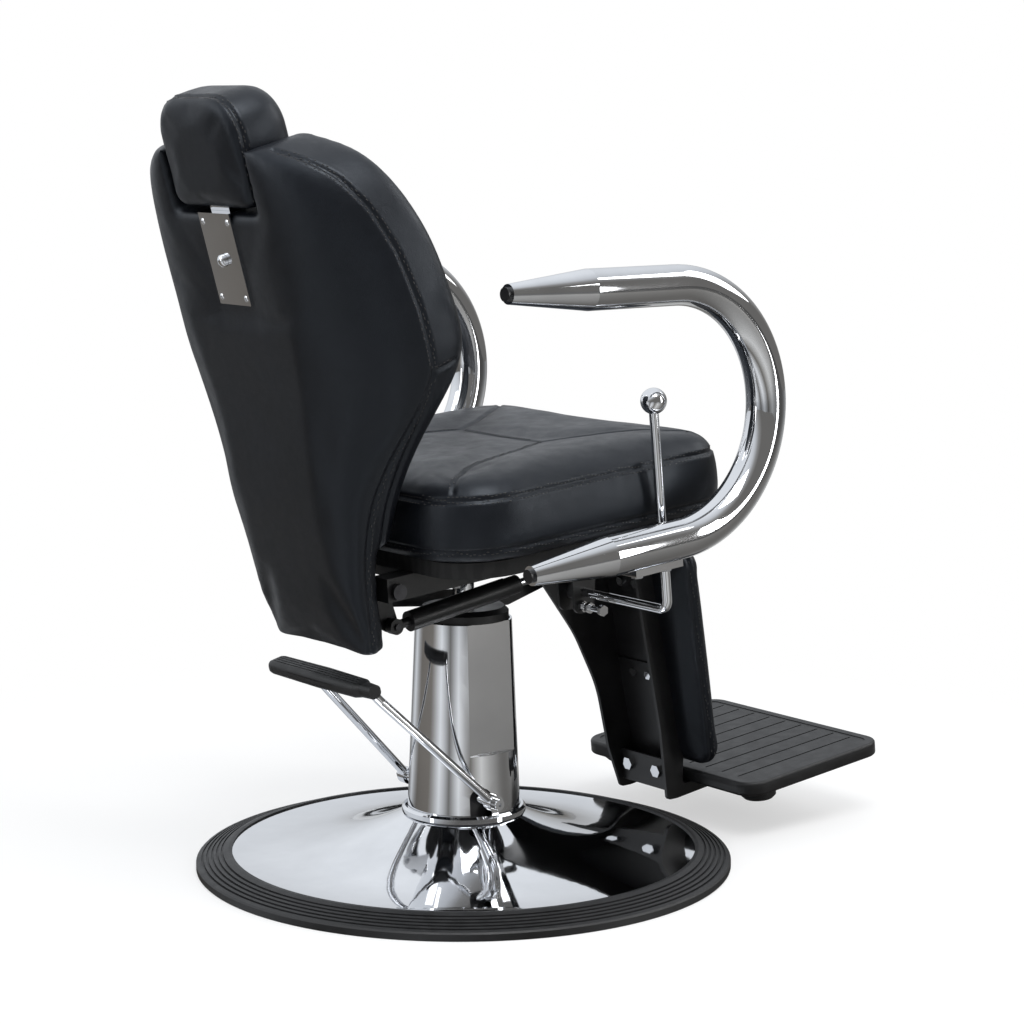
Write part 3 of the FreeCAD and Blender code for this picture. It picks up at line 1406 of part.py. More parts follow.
for side, name in ((-1, "right"), (1, "left")):
    x0 = min(side * foot_half, side * (foot_half - foot_plate_sheet))
    profile = web_profile if side > 0 else bar_profile
    radii = web_radii if side > 0 else bar_radii
    plate = plate_x(profile, radii, x0, x0 + foot_plate_sheet)
    plate = plate.cut(cyl_x(shaft_hole, -foot_half, foot_half, foot_hinge_y, foot_hinge_z))
    if side > 0:
        plate = plate.cut(cyl_x(link_pin_radius, 0, foot_half, link_front_y, link_front_z))
    keep("foot_side_" + name, plate)
foot_inner = foot_half - foot_plate_sheet
front_pin = cyl_x(link_pin_radius, foot_inner, link_head_x, link_front_y, link_front_z)
front_pin = front_pin.fuse(cyl_x(link_head_radius, link_head_x, link_head_end, link_front_y, link_front_z))
keep("link_pin_front", front_pin.removeSplitter())

step_z = (sheet_step_z - calf_top_z) / math.cos(math.radians(calf_lean))
sheet = fused([
    box(-foot_inner, foot_inner, 0, sheet_thickness, -calf_height, -sheet_drop),
    box(-foot_inner, foot_inner, 0, sheet_thickness + sheet_step, -calf_height, step_z),
])
sheet_bolts = []
for x in (-sheet_bolt_x, sheet_bolt_x):
    for drop, face_y in ((sheet_bolt_high, sheet_thickness), (sheet_bolt_low, sheet_thickness + sheet_step)):
        spot = vec(x, face_y, -drop)
        shank = Part.makeCylinder(sheet_bolt_radius, face_y + sheet_bolt_bite, spot, vec(0, -1, 0))
        bolt_head = hexagon(bolt_head_across(sheet_bolt_radius), sheet_bolt_head, spot, vec(0, 1, 0))
        sheet = sheet.cut(shank)
        sheet_bolts.append(shank.fuse(bolt_head).removeSplitter())
keep("foot_sheet", on_calf(sheet))


def calf_outline(w, share):
    inset = share * calf_draw
    head = calf_top_half - inset
    foot = calf_foot_half - inset
    corners = [
        vec(-foot, -w, -calf_height + inset),
        vec(foot, -w, -calf_height + inset),
        vec(head, -w, -inset),
        vec(-head, -w, -inset),
    ]
    return rounded_wire(corners, calf_corner - inset / 3, True)


calf_pad = Part.makeLoft([
    calf_outline(0.0, 0.2),
    calf_outline(calf_depth * 0.2, 0.0),
    calf_outline(calf_depth * 0.55, 0.0),
    calf_outline(calf_depth * 0.85, 0.3),
    calf_outline(calf_depth, 1.0),
], True, False)
for bolt in sheet_bolts:
    calf_pad = calf_pad.cut(bolt)
keep("calf_pad", on_calf(calf_pad))

angle_foot = -tread_thickness - angle_sheet
angle_inner = angle_rear - angle_sheet
crossbar = fused([
    box(-foot_inner, foot_inner, -angle_front, angle_rear, angle_foot, -tread_thickness),
    box(-foot_inner, foot_inner, angle_inner, angle_rear, angle_foot, angle_rise),
])
cross_across = bolt_head_across(cross_bolt_radius)
tread_across = bolt_head_across(tread_bolt_radius)
cross_bolts = []
for x in (-cross_bolt_x, cross_bolt_x):
    spot = vec(x, angle_rear, cross_bolt_z)
    shank = Part.makeCylinder(cross_bolt_radius, cross_bolt_length, spot, vec(0, -1, 0))
    bolt_head = hexagon(cross_across, cross_bolt_head, spot, vec(0, 1, 0))
    nut = hexagon(cross_across, cross_bolt_head, vec(x, angle_inner, cross_bolt_z), vec(0, -1, 0))
    crossbar = crossbar.cut(shank)
    cross_bolts.append(fused([shank, bolt_head, nut]))
    foot_shank = cyl_z(tread_bolt_radius, angle_foot, angle_foot + tread_bolt_length, x, -tread_bolt_setback)
    head_foot = vec(x, -tread_bolt_setback, angle_foot - tread_bolt_head)
    foot_head = hexagon(tread_across, tread_bolt_head, head_foot, vec(0, 0, 1))
    crossbar = crossbar.cut(foot_shank)
    cross_bolts.append(foot_shank.fuse(foot_head).removeSplitter())
keep("foot_crossbar", on_tread(crossbar))
keep("foot_bolts", Part.makeCompound([on_calf(b) for b in sheet_bolts] + [on_tread(b) for b in cross_bolts]))

tread_length = tread_rear_y - tread_front_y
tread_corners = [(-tread_half, -tread_length), (tread_half, -tread_length), (tread_half, 0), (-tread_half, 0)]
tread_base = plate_z(tread_corners, tread_corner, -tread_thickness, -mat_thickness)
foot_edges = [edge for edge in tread_base.Edges if edge.BoundBox.ZMax < -mat_thickness - tread_edge_round]
tread_base = tread_base.makeFillet(tread_edge_round, foot_edges)
for bolt in cross_bolts:
    tread_base = tread_base.cut(bolt)
keep("footplate", on_tread(tread_base))
mat = plate_z(tread_corners, tread_corner, -mat_thickness, 0)
mat = mat.makeFillet(tread_edge_round, [edge for edge in mat.Edges if edge.BoundBox.ZMin > -tread_edge_round])
field_half = tread_half - mat_border
field_front = -tread_length + mat_border
field_sink = -tread_groove_depth / 2
field = [(-field_half, field_front), (field_half, field_front), (field_half, -mat_border),
         (-field_half, -mat_border)]
mat = mat.cut(plate_z(field, tread_corner - mat_border, field_sink, mat_thickness))
groove_step = 2 * field_half / (tread_groove_count + 1)
for k in range(tread_groove_count):
    x0 = -field_half + groove_step * (k + 1) - tread_groove_width / 2
    mat = mat.cut(box(x0, x0 + tread_groove_width, field_front + tread_groove_end,
                      -mat_border - tread_groove_end, field_sink - tread_groove_depth, mat_thickness))
keep("footplate_mat", on_tread(mat))
bumpers = []
bumper_foot = -tread_thickness - bumper_height
for x in (-tread_half + bumper_inset, tread_half - bumper_inset):
    bumper = cyl_z(bumper_radius, bumper_foot + bumper_chamfer, -tread_thickness, x, -bumper_setback)
    bumper = bumper.fuse(Part.makeCone(bumper_radius - bumper_chamfer, bumper_radius, bumper_chamfer,
                                       vec(x, -bumper_setback, bumper_foot)))
    bumpers.append(on_tread(bumper.removeSplitter()))
keep("footplate_bumpers", Part.makeCompound(bumpers))

os.makedirs("parts", exist_ok=True)
for name in COLLECT:
    COLLECT[name].exportStep("parts/" + name + ".step")
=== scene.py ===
import json
import math
import bpy
import bmesh
from mathutils import Matrix, Vector
from mathutils.bvhtree import BVHTree


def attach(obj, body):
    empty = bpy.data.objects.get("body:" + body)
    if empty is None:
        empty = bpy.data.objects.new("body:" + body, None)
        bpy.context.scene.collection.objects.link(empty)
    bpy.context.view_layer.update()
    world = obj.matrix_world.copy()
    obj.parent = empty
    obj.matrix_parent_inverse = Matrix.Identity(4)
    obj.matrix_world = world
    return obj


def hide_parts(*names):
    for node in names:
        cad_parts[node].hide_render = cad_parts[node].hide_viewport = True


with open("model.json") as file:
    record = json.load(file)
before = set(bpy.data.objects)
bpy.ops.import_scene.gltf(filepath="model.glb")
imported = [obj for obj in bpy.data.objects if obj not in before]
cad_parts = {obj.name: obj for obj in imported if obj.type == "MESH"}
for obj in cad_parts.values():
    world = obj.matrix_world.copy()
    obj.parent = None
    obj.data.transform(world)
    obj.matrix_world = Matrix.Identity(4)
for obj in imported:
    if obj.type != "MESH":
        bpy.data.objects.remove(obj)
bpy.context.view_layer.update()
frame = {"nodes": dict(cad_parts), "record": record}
NODES = frame["nodes"]
scene = bpy.context.scene

# Shared values of the chair, in metres, as in the part's source
SEAT_TILT = math.radians(5.0)
SEAT_Z = 0.400
SEAT_HALF = 0.240
SEAT_FRONT = -0.262
SEAT_REAR = 0.176
SEAT_FRONT_ROUND = 0.052
SEAT_REAR_ROUND = 0.095
BOARD_TOP = 0.050
CUSHION_HEIGHT = 0.106
BACK_LEAN = math.radians(15.5)
BACK_FOOT = Vector((0.0, 0.222, 0.323))
HEADREST_FOOT = 0.557
HEADREST_TOP = 0.694
HEADREST_HALF = 0.085
CALF_LEAN = math.radians(12.3)
CALF_TOP = Vector((0.0, -0.275, 0.398))
CALF_TOP_HALF = 0.119
CALF_FOOT_HALF = 0.101
CALF_HEIGHT = 0.315

SEAT = Matrix.Translation((0, 0, SEAT_Z)) @ Matrix.Rotation(-SEAT_TILT, 4, "X")
BACK = Matrix.Translation(BACK_FOOT) @ Matrix.Rotation(-BACK_LEAN, 4, "X")
CALF = Matrix.Translation(CALF_TOP) @ Matrix.Rotation(-CALF_LEAN, 4, "X")

# Height up the back, half width, seam depth and wing depth
BACK_ROWS = [
    (-0.008, 0.096, 0.027, 0.053), (0.060, 0.102, 0.034, 0.060), (0.120, 0.118, 0.040, 0.066),
    (0.180, 0.143, 0.050, 0.078), (0.240, 0.177, 0.066, 0.098), (0.300, 0.219, 0.084, 0.124),
    (0.350, 0.240, 0.094, 0.148), (0.420, 0.240, 0.093, 0.152), (0.490, 0.231, 0.086, 0.146),
    (0.545, 0.215, 0.073, 0.134), (0.587, 0.190, 0.056, 0.120), (0.612, 0.158, 0.038, 0.106),
    (0.630, 0.116, 0.020, 0.088),
]


# Materials

# Most values of a noise lie between these two
NOISE_LOW = 0.3
NOISE_HIGH = 0.7


def new_material(name):
    material = bpy.data.materials.new(name)
    material.use_nodes = True
    nodes = material.node_tree.nodes
    links = material.node_tree.links
    shader = nodes["Principled BSDF"]
    place = nodes.new("ShaderNodeTexCoord").outputs["Object"]
    return material, nodes, links, shader, place


def noise(nodes, links, place, scale, detail, rough=0.55):
    node = nodes.new("ShaderNodeTexNoise")
    node.inputs["Scale"].default_value = scale
    node.inputs["Detail"].default_value = detail
    node.inputs["Roughness"].default_value = rough
    links.new(place, node.inputs["Vector"])
    return node.outputs["Fac"]


def spread(nodes, links, value, low, high, from_low=NOISE_LOW, from_high=NOISE_HIGH):
    node = nodes.new("ShaderNodeMapRange")
    node.inputs["From Min"].default_value = from_low
    node.inputs["From Max"].default_value = from_high
    node.inputs["To Min"].default_value = low
    node.inputs["To Max"].default_value = high
    links.new(value, node.inputs["Value"])
    return node.outputs["Result"]


def toned(nodes, links, value, tones):
    ramp = nodes.new("ShaderNodeValToRGB")
    for level, _ in tones[1:-1]:
        ramp.color_ramp.elements.new(level)
    for element, (level, colour) in zip(ramp.color_ramp.elements, tones):
        element.position = level
        element.color = (*colour, 1.0)
    links.new(value, ramp.inputs["Fac"])
    return ramp.outputs["Color"]


def tint(nodes, links, value, dark, light):
    return toned(nodes, links, value, ((NOISE_LOW, dark), (NOISE_HIGH, light)))


def bump(nodes, links, height, strength, distance, normal=None):
    node = nodes.new("ShaderNodeBump")
    node.inputs["Strength"].default_value = strength
    node.inputs["Distance"].default_value = distance
    links.new(height, node.inputs["Height"])
    if normal is not None:
        links.new(normal, node.inputs["Normal"])
    return node.outputs["Normal"]


def vector_math(nodes, links, operation, place, other=None):
    node = nodes.new("ShaderNodeVectorMath")
    node.operation = operation
    links.new(place, node.inputs[0])
    if other is not None:
        node.inputs[1].default_value = other
    return node.outputs


def mix_shaders(nodes, links, share, first, second):
    node = nodes.new("ShaderNodeMixShader")
    links.new(share, node.inputs["Fac"])
    links.new(first, node.inputs[1])
    links.new(second, node.inputs[2])
    return node.outputs["Shader"]


def leather_material():
    material, nodes, links, shader, place = new_material("leather_black")
    cells = nodes.new("ShaderNodeTexVoronoi")
    cells.feature = "DISTANCE_TO_EDGE"
    cells.inputs["Scale"].default_value = 620.0
    links.new(place, cells.inputs["Vector"])
    grain = spread(nodes, links, cells.outputs["Distance"], low=0.0, high=1.0, from_low=0.0, from_high=0.18)
    broad = noise(nodes, links, place, scale=9.0, detail=4.0)
    crease = noise(nodes, links, place, scale=46.0, detail=5.0, rough=0.6)
    colour = tint(nodes, links, broad, dark=(0.0026, 0.0031, 0.0048), light=(0.0044, 0.0052, 0.0080))
    links.new(colour, shader.inputs["Base Color"])
    links.new(spread(nodes, links, crease, low=0.34, high=0.46), shader.inputs["Roughness"])
    shader.inputs["Specular IOR Level"].default_value = 0.42
    shader.inputs["Specular Tint"].default_value = (0.82, 0.90, 1.0, 1.0)
    fine = bump(nodes, links, grain, strength=0.16, distance=0.0004)
    creased = bump(nodes, links, crease, strength=0.10, distance=0.0022, normal=fine)
    links.new(creased, shader.inputs["Normal"])
    return material


def thread_material():
    material, nodes, links, shader, place = new_material("thread")
    twist = noise(nodes, links, place, scale=900.0, detail=2.0)
    colour = tint(nodes, links, twist, dark=(0.006, 0.006, 0.006), light=(0.020, 0.018, 0.017))
    links.new(colour, shader.inputs["Base Color"])
    shader.inputs["Roughness"].default_value = 0.55
    shader.inputs["Sheen Weight"].default_value = 0.3
    links.new(bump(nodes, links, twist, strength=0.4, distance=0.0003), shader.inputs["Normal"])
    return material


def chrome_material():
    material, nodes, links, shader, place = new_material("chrome_mirror")
    smear = noise(nodes, links, place, scale=14.0, detail=3.0)
    colour = tint(nodes, links, smear, dark=(0.70, 0.71, 0.73), light=(0.77, 0.78, 0.80))
    links.new(colour, shader.inputs["Base Color"])
    shader.inputs["Metallic"].default_value = 1.0
    links.new(spread(nodes, links, smear, low=0.025, high=0.065), shader.inputs["Roughness"])
    wave = noise(nodes, links, place, scale=24.0, detail=1.0)
    links.new(bump(nodes, links, wave, strength=0.02, distance=0.001), shader.inputs["Normal"])
    return material


def plain_material(name, dark, light, rough, metallic, cloud_scale,
                   grain_scale, grain_strength, grain_depth):
    material, nodes, links, shader, place = new_material(name)
    cloud = noise(nodes, links, place, cloud_scale, detail=4.0)
    links.new(tint(nodes, links, cloud, dark, light), shader.inputs["Base Color"])
    shader.inputs["Metallic"].default_value = metallic
    links.new(spread(nodes, links, cloud, *rough), shader.inputs["Roughness"])
    grain = noise(nodes, links, place, grain_scale, detail=3.0)
    links.new(bump(nodes, links, grain, grain_strength, grain_depth), shader.inputs["Normal"])
    return material


def wood_material():
    material, nodes, links, shader, place = new_material("black_plywood")
    rings = nodes.new("ShaderNodeTexWave")
    rings.inputs["Scale"].default_value = 22.0
    rings.inputs["Distortion"].default_value = 5.0
    rings.inputs["Detail"].default_value = 3.0
    links.new(place, rings.inputs["Vector"])
    grain = rings.outputs["Fac"]
    colour = tint(nodes, links, grain, dark=(0.006, 0.006, 0.0065), light=(0.012, 0.012, 0.0125))
    links.new(colour, shader.inputs["Base Color"])
    shader.inputs["Roughness"].default_value = 0.7
    links.new(bump(nodes, links, grain, strength=0.15, distance=0.0005), shader.inputs["Normal"])
    return material


LEATHER = leather_material()
THREAD = thread_material()
CHROME = chrome_material()
RUBBER = plain_material(
    "rubber_black", dark=(0.007, 0.0072, 0.008), light=(0.012, 0.0122, 0.0135),
    rough=(0.46, 0.60), metallic=0.0, cloud_scale=60.0,
    grain_scale=900.0, grain_strength=0.25, grain_depth=0.0004)
PAINT = plain_material(
    "black_powder_coat", dark=(0.006, 0.006, 0.0065), light=(0.011, 0.011, 0.012),
    rough=(0.34, 0.46), metallic=0.0, cloud_scale=30.0,
    grain_scale=420.0, grain_strength=0.18, grain_depth=0.0004)
PLASTIC = plain_material(
    "black_plastic", dark=(0.006, 0.006, 0.0066), light=(0.010, 0.010, 0.011),
    rough=(0.32, 0.44), metallic=0.0, cloud_scale=40.0,
    grain_scale=700.0, grain_strength=0.12, grain_depth=0.0003)
STEEL = plain_material(
    "zinc_steel", dark=(0.40, 0.41, 0.43), light=(0.54, 0.55, 0.57),
    rough=(0.20, 0.34), metallic=1.0, cloud_scale=50.0,
    grain_scale=600.0, grain_strength=0.05, grain_depth=0.0003)
IRON = plain_material(
    "painted_iron", dark=(0.030, 0.030, 0.032), light=(0.055, 0.055, 0.058),
    rough=(0.45, 0.62), metallic=0.3, cloud_scale=35.0,
    grain_scale=260.0, grain_strength=0.35, grain_depth=0.0008)
DARK_STEEL = plain_material(
    "blackened_steel", dark=(0.050, 0.050, 0.054), light=(0.085, 0.085, 0.090),
    rough=(0.30, 0.42), metallic=1.0, cloud_scale=50.0,
    grain_scale=600.0, grain_strength=0.05, grain_depth=0.0003)
PLYWOOD = wood_material()
SLOT_MATERIAL = {
    "chrome": CHROME, "steel": STEEL, "black_paint": PAINT, "base_iron": IRON, "rubber": RUBBER,
    "black_plastic": PLASTIC, "leather": LEATHER, "plywood": PLYWOOD,
}
NODE_MATERIAL = {"hinge_pins": DARK_STEEL, "back_pins": DARK_STEEL, "link_pin_front": DARK_STEEL}
SLOT_OF = {entry["node"]: entry["material_slot"] for entry in frame["record"]["subparts"]}
for node_name, node in NODES.items():
    finish = NODE_MATERIAL.get(node_name, SLOT_MATERIAL[SLOT_OF[node_name]])
    for slot in node.material_slots:
        slot.material = finish


# Soft pieces

VOXEL = 0.005
PAD_VOXEL = 0.004
LINE_STEP = 0.005
SIM_FRAMES = 20
CLOTH_MASS = 0.3
CLOTH_STRETCH = 18.0
CLOTH_SHEAR = 6.0
CLOTH_BEND = 0.6
CLOTH_QUALITY = 5
# A seam's groove, the swell on both sides of it and how far from it the cloth is held
SEAM_DEPTH = 0.0026
SEAM_WIDTH = 0.0042
SEAM_SWELL = 0.0014
SEAM_FALL = 1.6
SEAM_REACH = 3.0 * SEAM_WIDTH
HOLD_REACH = 0.0055
LINE_ROUNDS = 3
BOTH_SIDES = (-1, 1)


def plain_mesh(name, node_names):
    mesh = bpy.data.meshes.new(name)
    builder = bmesh.new()
    for node_name in node_names:
        source = NODES[node_name]
        part = source.data.copy()
        part.transform(source.matrix_world)
        builder.from_mesh(part)
        bpy.data.meshes.remove(part)
    builder.to_mesh(mesh)
    builder.free()
    mesh.materials.clear()
    piece = bpy.data.objects.new(name, mesh)
    scene.collection.objects.link(piece)
    return piece


def settle_modifiers(piece):
    graph = bpy.context.evaluated_depsgraph_get()
    mesh = bpy.data.meshes.new_from_object(piece.evaluated_get(graph))
    old = piece.data
    piece.modifiers.clear()
    piece.data = mesh
    bpy.data.meshes.remove(old)


def remeshed(piece, voxel):
    remesh = piece.modifiers.new("remesh", "REMESH")
    remesh.mode = "VOXEL"
    remesh.voxel_size = voxel
    settle_modifiers(piece)


def relaxed(piece, rounds):
    smooth = piece.modifiers.new("smooth", "SMOOTH")
    smooth.factor = 0.5
    smooth.iterations = rounds
    settle_modifiers(piece)


def subdivided(piece):
    fine = piece.modifiers.new("fine", "SUBSURF")
    fine.levels = 1
    fine.render_levels = 1
    settle_modifiers(piece)
    for polygon in piece.data.polygons:
        polygon.use_smooth = True


def surface(piece):
    graph = bpy.context.evaluated_depsgraph_get()
    return BVHTree.FromObject(piece, graph)


def walk(points, step):
    found = []
    carry = 0.0
    for first, second in zip(points, points[1:]):
        length = (second - first).length
        place = carry
        while place < length:
            found.append(first.lerp(second, place / length))
            place += step
        carry = place - length
    return found


# Each pass cuts every corner a quarter of the way along its two edges
def rounded(points, passes):
    for _ in range(passes):
        finer = [points[0]]
        for first, second in zip(points, points[1:]):
            finer.append(first.lerp(second, 0.25))
            finer.append(first.lerp(second, 0.75))
        finer.append(points[-1])
        points = finer
    return points


def distance_map(points, reach):
    cells = {}
    for point in points:
        key = tuple(int(math.floor(c / reach)) for c in point)
        cells.setdefault(key, []).append(point)
    return cells


def nearest_distance(cells, reach, place):
    key = [int(math.floor(c / reach)) for c in place]
    best = reach
    for dx in (-1, 0, 1):
        for dy in (-1, 0, 1):
            for dz in (-1, 0, 1):
                for point in cells.get((key[0] + dx, key[1] + dy, key[2] + dz), ()):
                    best = min(best, (point - place).length)
    return best


def draw_in_seams(piece, seams):
    points = [point for seam in seams for point in walk(seam, 0.5 * SEAM_WIDTH)]
    cells = distance_map(points, SEAM_REACH)
    mesh = piece.data
    normals = [vertex.normal.copy() for vertex in mesh.vertices]
    for vertex in mesh.vertices:
        gap = nearest_distance(cells, SEAM_REACH, vertex.co)
        if gap < SEAM_REACH:
            share = (gap / SEAM_WIDTH) ** 2
            push = SEAM_SWELL * share * math.exp(-share) - SEAM_DEPTH * math.exp(-SEAM_FALL * share)
            vertex.co += normals[vertex.index] * push
    mesh.update()


def near_seams(piece, seams):
    points = [point for seam in seams for point in walk(seam, 0.5 * HOLD_REACH)]
    cells = distance_map(points, HOLD_REACH)
    return [v.index for v in piece.data.vertices if nearest_distance(cells, HOLD_REACH, v.co) < HOLD_REACH]


def largest_island(piece):
    builder = bmesh.new()
    builder.from_mesh(piece.data)
    left = set(builder.verts)
    islands = []
    while left:
        front = [left.pop()]
        island = set(front)
        while front:
            vertex = front.pop()
            for edge in vertex.link_edges:
                other = edge.other_vert(vertex)
                if other in left:
                    left.discard(other)
                    island.add(other)
                    front.append(other)
        islands.append(island)
    keep = max(islands, key=len)
    bmesh.ops.delete(builder, geom=[v for v in builder.verts if v not in keep], context="VERTS")
    builder.to_mesh(piece.data)
    builder.free()


# A short cloth run under pressure, with the held points fixed and every shift capped
def puffed(piece, held, cap, pressure):
    mesh = piece.data
    start = [vertex.co.copy() for vertex in mesh.vertices]
    group = piece.vertex_groups.new(name="held")
    group.add(held, 1.0, "REPLACE")
    cloth = piece.modifiers.new("cloth", "CLOTH")
    settings = cloth.settings
    settings.use_pressure = True
    settings.uniform_pressure_force = pressure
    settings.effector_weights.gravity = 0.0
    settings.vertex_group_mass = "held"
    settings.mass = CLOTH_MASS
    settings.tension_stiffness = CLOTH_STRETCH
    settings.compression_stiffness = CLOTH_STRETCH
    settings.shear_stiffness = CLOTH_SHEAR
    settings.bending_stiffness = CLOTH_BEND
    settings.quality = CLOTH_QUALITY
    cloth.point_cache.frame_start = 1
    cloth.point_cache.frame_end = SIM_FRAMES
    for number in range(1, SIM_FRAMES + 1):
        scene.frame_set(number)
    graph = bpy.context.evaluated_depsgraph_get()
    swollen = piece.evaluated_get(graph)
    moved = [vertex.co.copy() for vertex in swollen.data.vertices]
    piece.modifiers.remove(cloth)
    piece.vertex_groups.clear()
    scene.frame_set(1)
    for vertex in mesh.vertices:
        shift = moved[vertex.index] - start[vertex.index]
        if shift.length > cap:
            shift = shift * (cap / shift.length)
        vertex.co = start[vertex.index] + shift
    mesh.update()


def dressed(piece, body, nodes):
    piece.data.materials.clear()
    piece.data.materials.append(LEATHER)
    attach(piece, body)
    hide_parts(*nodes)


STITCH_LENGTH = 0.0040
STITCH_PITCH = 0.0054
STITCH_RADIUS = 0.00055
STITCH_SIDES = 6
# Distance of a row of stitches from its seam
STITCH_OFFSET = 0.0047
# Place along a stitch, size and lift of its rings, as shares of its length and radius
STITCH_RINGS = (
    (-0.5, 0.25, -0.8), (-0.32, 0.85, 0.15), (0.0, 1.0, 0.45), (0.32, 0.85, 0.15), (0.5, 0.25, -0.8),
)


def add_stitch(builder, centre, along, out):
    side = along.cross(out).normalized()
    rings = []
    for share, size, lift in STITCH_RINGS:
        middle = centre + along * STITCH_LENGTH * share + out * STITCH_RADIUS * lift
        ring = []
        for corner in range(STITCH_SIDES):
            turn = 2.0 * math.pi * corner / STITCH_SIDES
            offset = side * math.cos(turn) + out * math.sin(turn)
            ring.append(builder.verts.new(middle + offset * STITCH_RADIUS * size))
        rings.append(ring)
    for first, second in zip(rings, rings[1:]):
        for corner in range(STITCH_SIDES):
            after = (corner + 1) % STITCH_SIDES
            builder.faces.new((first[corner], first[after], second[after], second[corner]))
    builder.faces.new(list(reversed(rings[0])))
    builder.faces.new(rings[-1])


def stitched(name, tree, seams, offsets, body):
    builder = bmesh.new()
    for seam in seams:
        places = walk(seam, STITCH_PITCH)
        for before, here, after in zip(places, places[1:], places[2:]):
            along = (after - before).normalized()
            hit, out, _, _ = tree.find_nearest(here)
            if hit is None:
                continue
            across = along.cross(out).normalized()
            for offset in offsets:
                foot, normal, _, _ = tree.find_nearest(hit + across * offset)
                heading = (along - normal * along.dot(normal)).normalized()
                add_stitch(builder, foot, heading, normal)
    mesh = bpy.data.meshes.new(name)
    builder.to_mesh(mesh)
    builder.free()
    mesh.materials.append(THREAD)
    piece = bpy.data.objects.new(name, mesh)
    scene.collection.objects.link(piece)
    for polygon in mesh.polygons:
        polygon.use_smooth = True
    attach(piece, body)


def laid_on(tree, points):
    placed = []
    for point in points:
        hit, _, _, _ = tree.find_nearest(point)
        placed.append(hit)
    return placed


def dropped_on(tree, place, points, from_height):
    placed = []
    down = (place.to_3x3() @ Vector((0, 0, -1))).normalized()
    for x, y in points:
        start = place @ Vector((x, y, from_height))
        hit, _, _, _ = tree.ray_cast(start, down)
        if hit is not None:
            placed.append(hit)
    return placed


# Seat cushion

SEAT_TIP_X = 0.084
SEAT_TIP_Y = -0.075
SEAT_FRONT_SEAM = [(SEAT_TIP_X, SEAT_TIP_Y), (0.110, -0.125), (0.155, -0.192), (0.198, -0.232),
                   (0.214, -0.245)]
SEAT_REAR_SEAM = [(SEAT_TIP_X, SEAT_TIP_Y), (0.104, -0.030), (0.118, 0.003), (0.143, 0.078), (0.178, 0.134),
                  (0.192, 0.152)]
SEAT_CENTRE_SEAM = [(-SEAT_TIP_X, SEAT_TIP_Y), (0.0, SEAT_TIP_Y - 0.003), (SEAT_TIP_X, SEAT_TIP_Y)]
UPPER_SEAM_SHARE = 0.765
LOWER_SEAM_SHARE = 0.15
SEAT_CAP = 0.0065
SEAT_PRESSURE = 7.0
SEAT_SMOOTH_FIRST = 12
SEAT_SMOOTH_LAST = 5
SEAT_BASE_BAND = 0.006
SEAT_LOOP_STEP = 0.006
CORNER_STEPS = 8
# Height above the seat's own origin from which its seams are dropped onto the cushion
DROP_HEIGHT = 0.400


def seat_loop(share):
    corners = (
        (SEAT_HALF, SEAT_FRONT, SEAT_FRONT_ROUND, -90.0),
        (SEAT_HALF, SEAT_REAR, SEAT_REAR_ROUND, 0.0),
        (-SEAT_HALF, SEAT_REAR, SEAT_REAR_ROUND, 90.0),
        (-SEAT_HALF, SEAT_FRONT, SEAT_FRONT_ROUND, 180.0),
    )
    height = BOARD_TOP + share * CUSHION_HEIGHT
    loop = []
    for x, y, radius, start in corners:
        centre_x = x - math.copysign(radius, x)
        centre_y = y - math.copysign(radius, y)
        for step in range(CORNER_STEPS + 1):
            turn = math.radians(start + 90.0 * step / CORNER_STEPS)
            place = (centre_x + radius * math.cos(turn), centre_y + radius * math.sin(turn), height)
            loop.append(SEAT @ Vector(place))
    loop.append(loop[0].copy())
    return loop


def seat_seams(tree):
    seams = []
    for line in (SEAT_FRONT_SEAM, SEAT_REAR_SEAM):
        for side in BOTH_SIDES:
            points = [Vector((side * x, y, 0)) for x, y in line]
            curve = [(point.x, point.y) for point in rounded(points, LINE_ROUNDS)]
            seams.append(dropped_on(tree, SEAT, curve, DROP_HEIGHT))
    centre = rounded([Vector((x, y, 0)) for x, y in SEAT_CENTRE_SEAM], LINE_ROUNDS)
    seams.append(dropped_on(tree, SEAT, [(point.x, point.y) for point in centre], DROP_HEIGHT))
    return seams


def make_seat():
    piece = plain_mesh("seat_cover", ["seat_cushion"])
    remeshed(piece, VOXEL)
    relaxed(piece, SEAT_SMOOTH_FIRST)
    tree = surface(piece)
    seams = seat_seams(tree)
    shares = (UPPER_SEAM_SHARE, LOWER_SEAM_SHARE)
    borders = [laid_on(tree, walk(seat_loop(share), SEAT_LOOP_STEP)) for share in shares]
    held = near_seams(piece, seams + borders)
    turn = SEAT.inverted()
    held += [v.index for v in piece.data.vertices if (turn @ v.co).z < BOARD_TOP + SEAT_BASE_BAND]
    puffed(piece, sorted(set(held)), SEAT_CAP, SEAT_PRESSURE)
    relaxed(piece, SEAT_SMOOTH_LAST)
    subdivided(piece)
    tree = surface(piece)
    seams = [laid_on(tree, seam) for seam in seams]
    borders = [laid_on(tree, border) for border in borders]
    draw_in_seams(piece, seams + borders)
    dressed(piece, "seat", ["seat_cushion"])
    tree = surface(piece)
    stitched("seat_stitching", tree, seams, (STITCH_OFFSET,), "seat")
    stitched("seat_border_stitching", tree, borders[:1], (-STITCH_OFFSET, STITCH_OFFSET), "seat")
    stitched("seat_lower_stitching", tree, borders[1:], (STITCH_OFFSET,), "seat")


# Backrest

BACK_CROSS = 0.342
BACK_SEAM_FOOT = 0.030
BACK_SEAM_TOP = 0.627
BACK_SEAM_STEPS = 80
BACK_CAP = 0.0045
BACK_PRESSURE = 2.0
BACK_SMOOTH_FIRST = 5
BACK_SMOOTH_LAST = 10
CROSS_RISE = 0.004
CROSS_STEPS = 12
WING_EDGE = 0.018
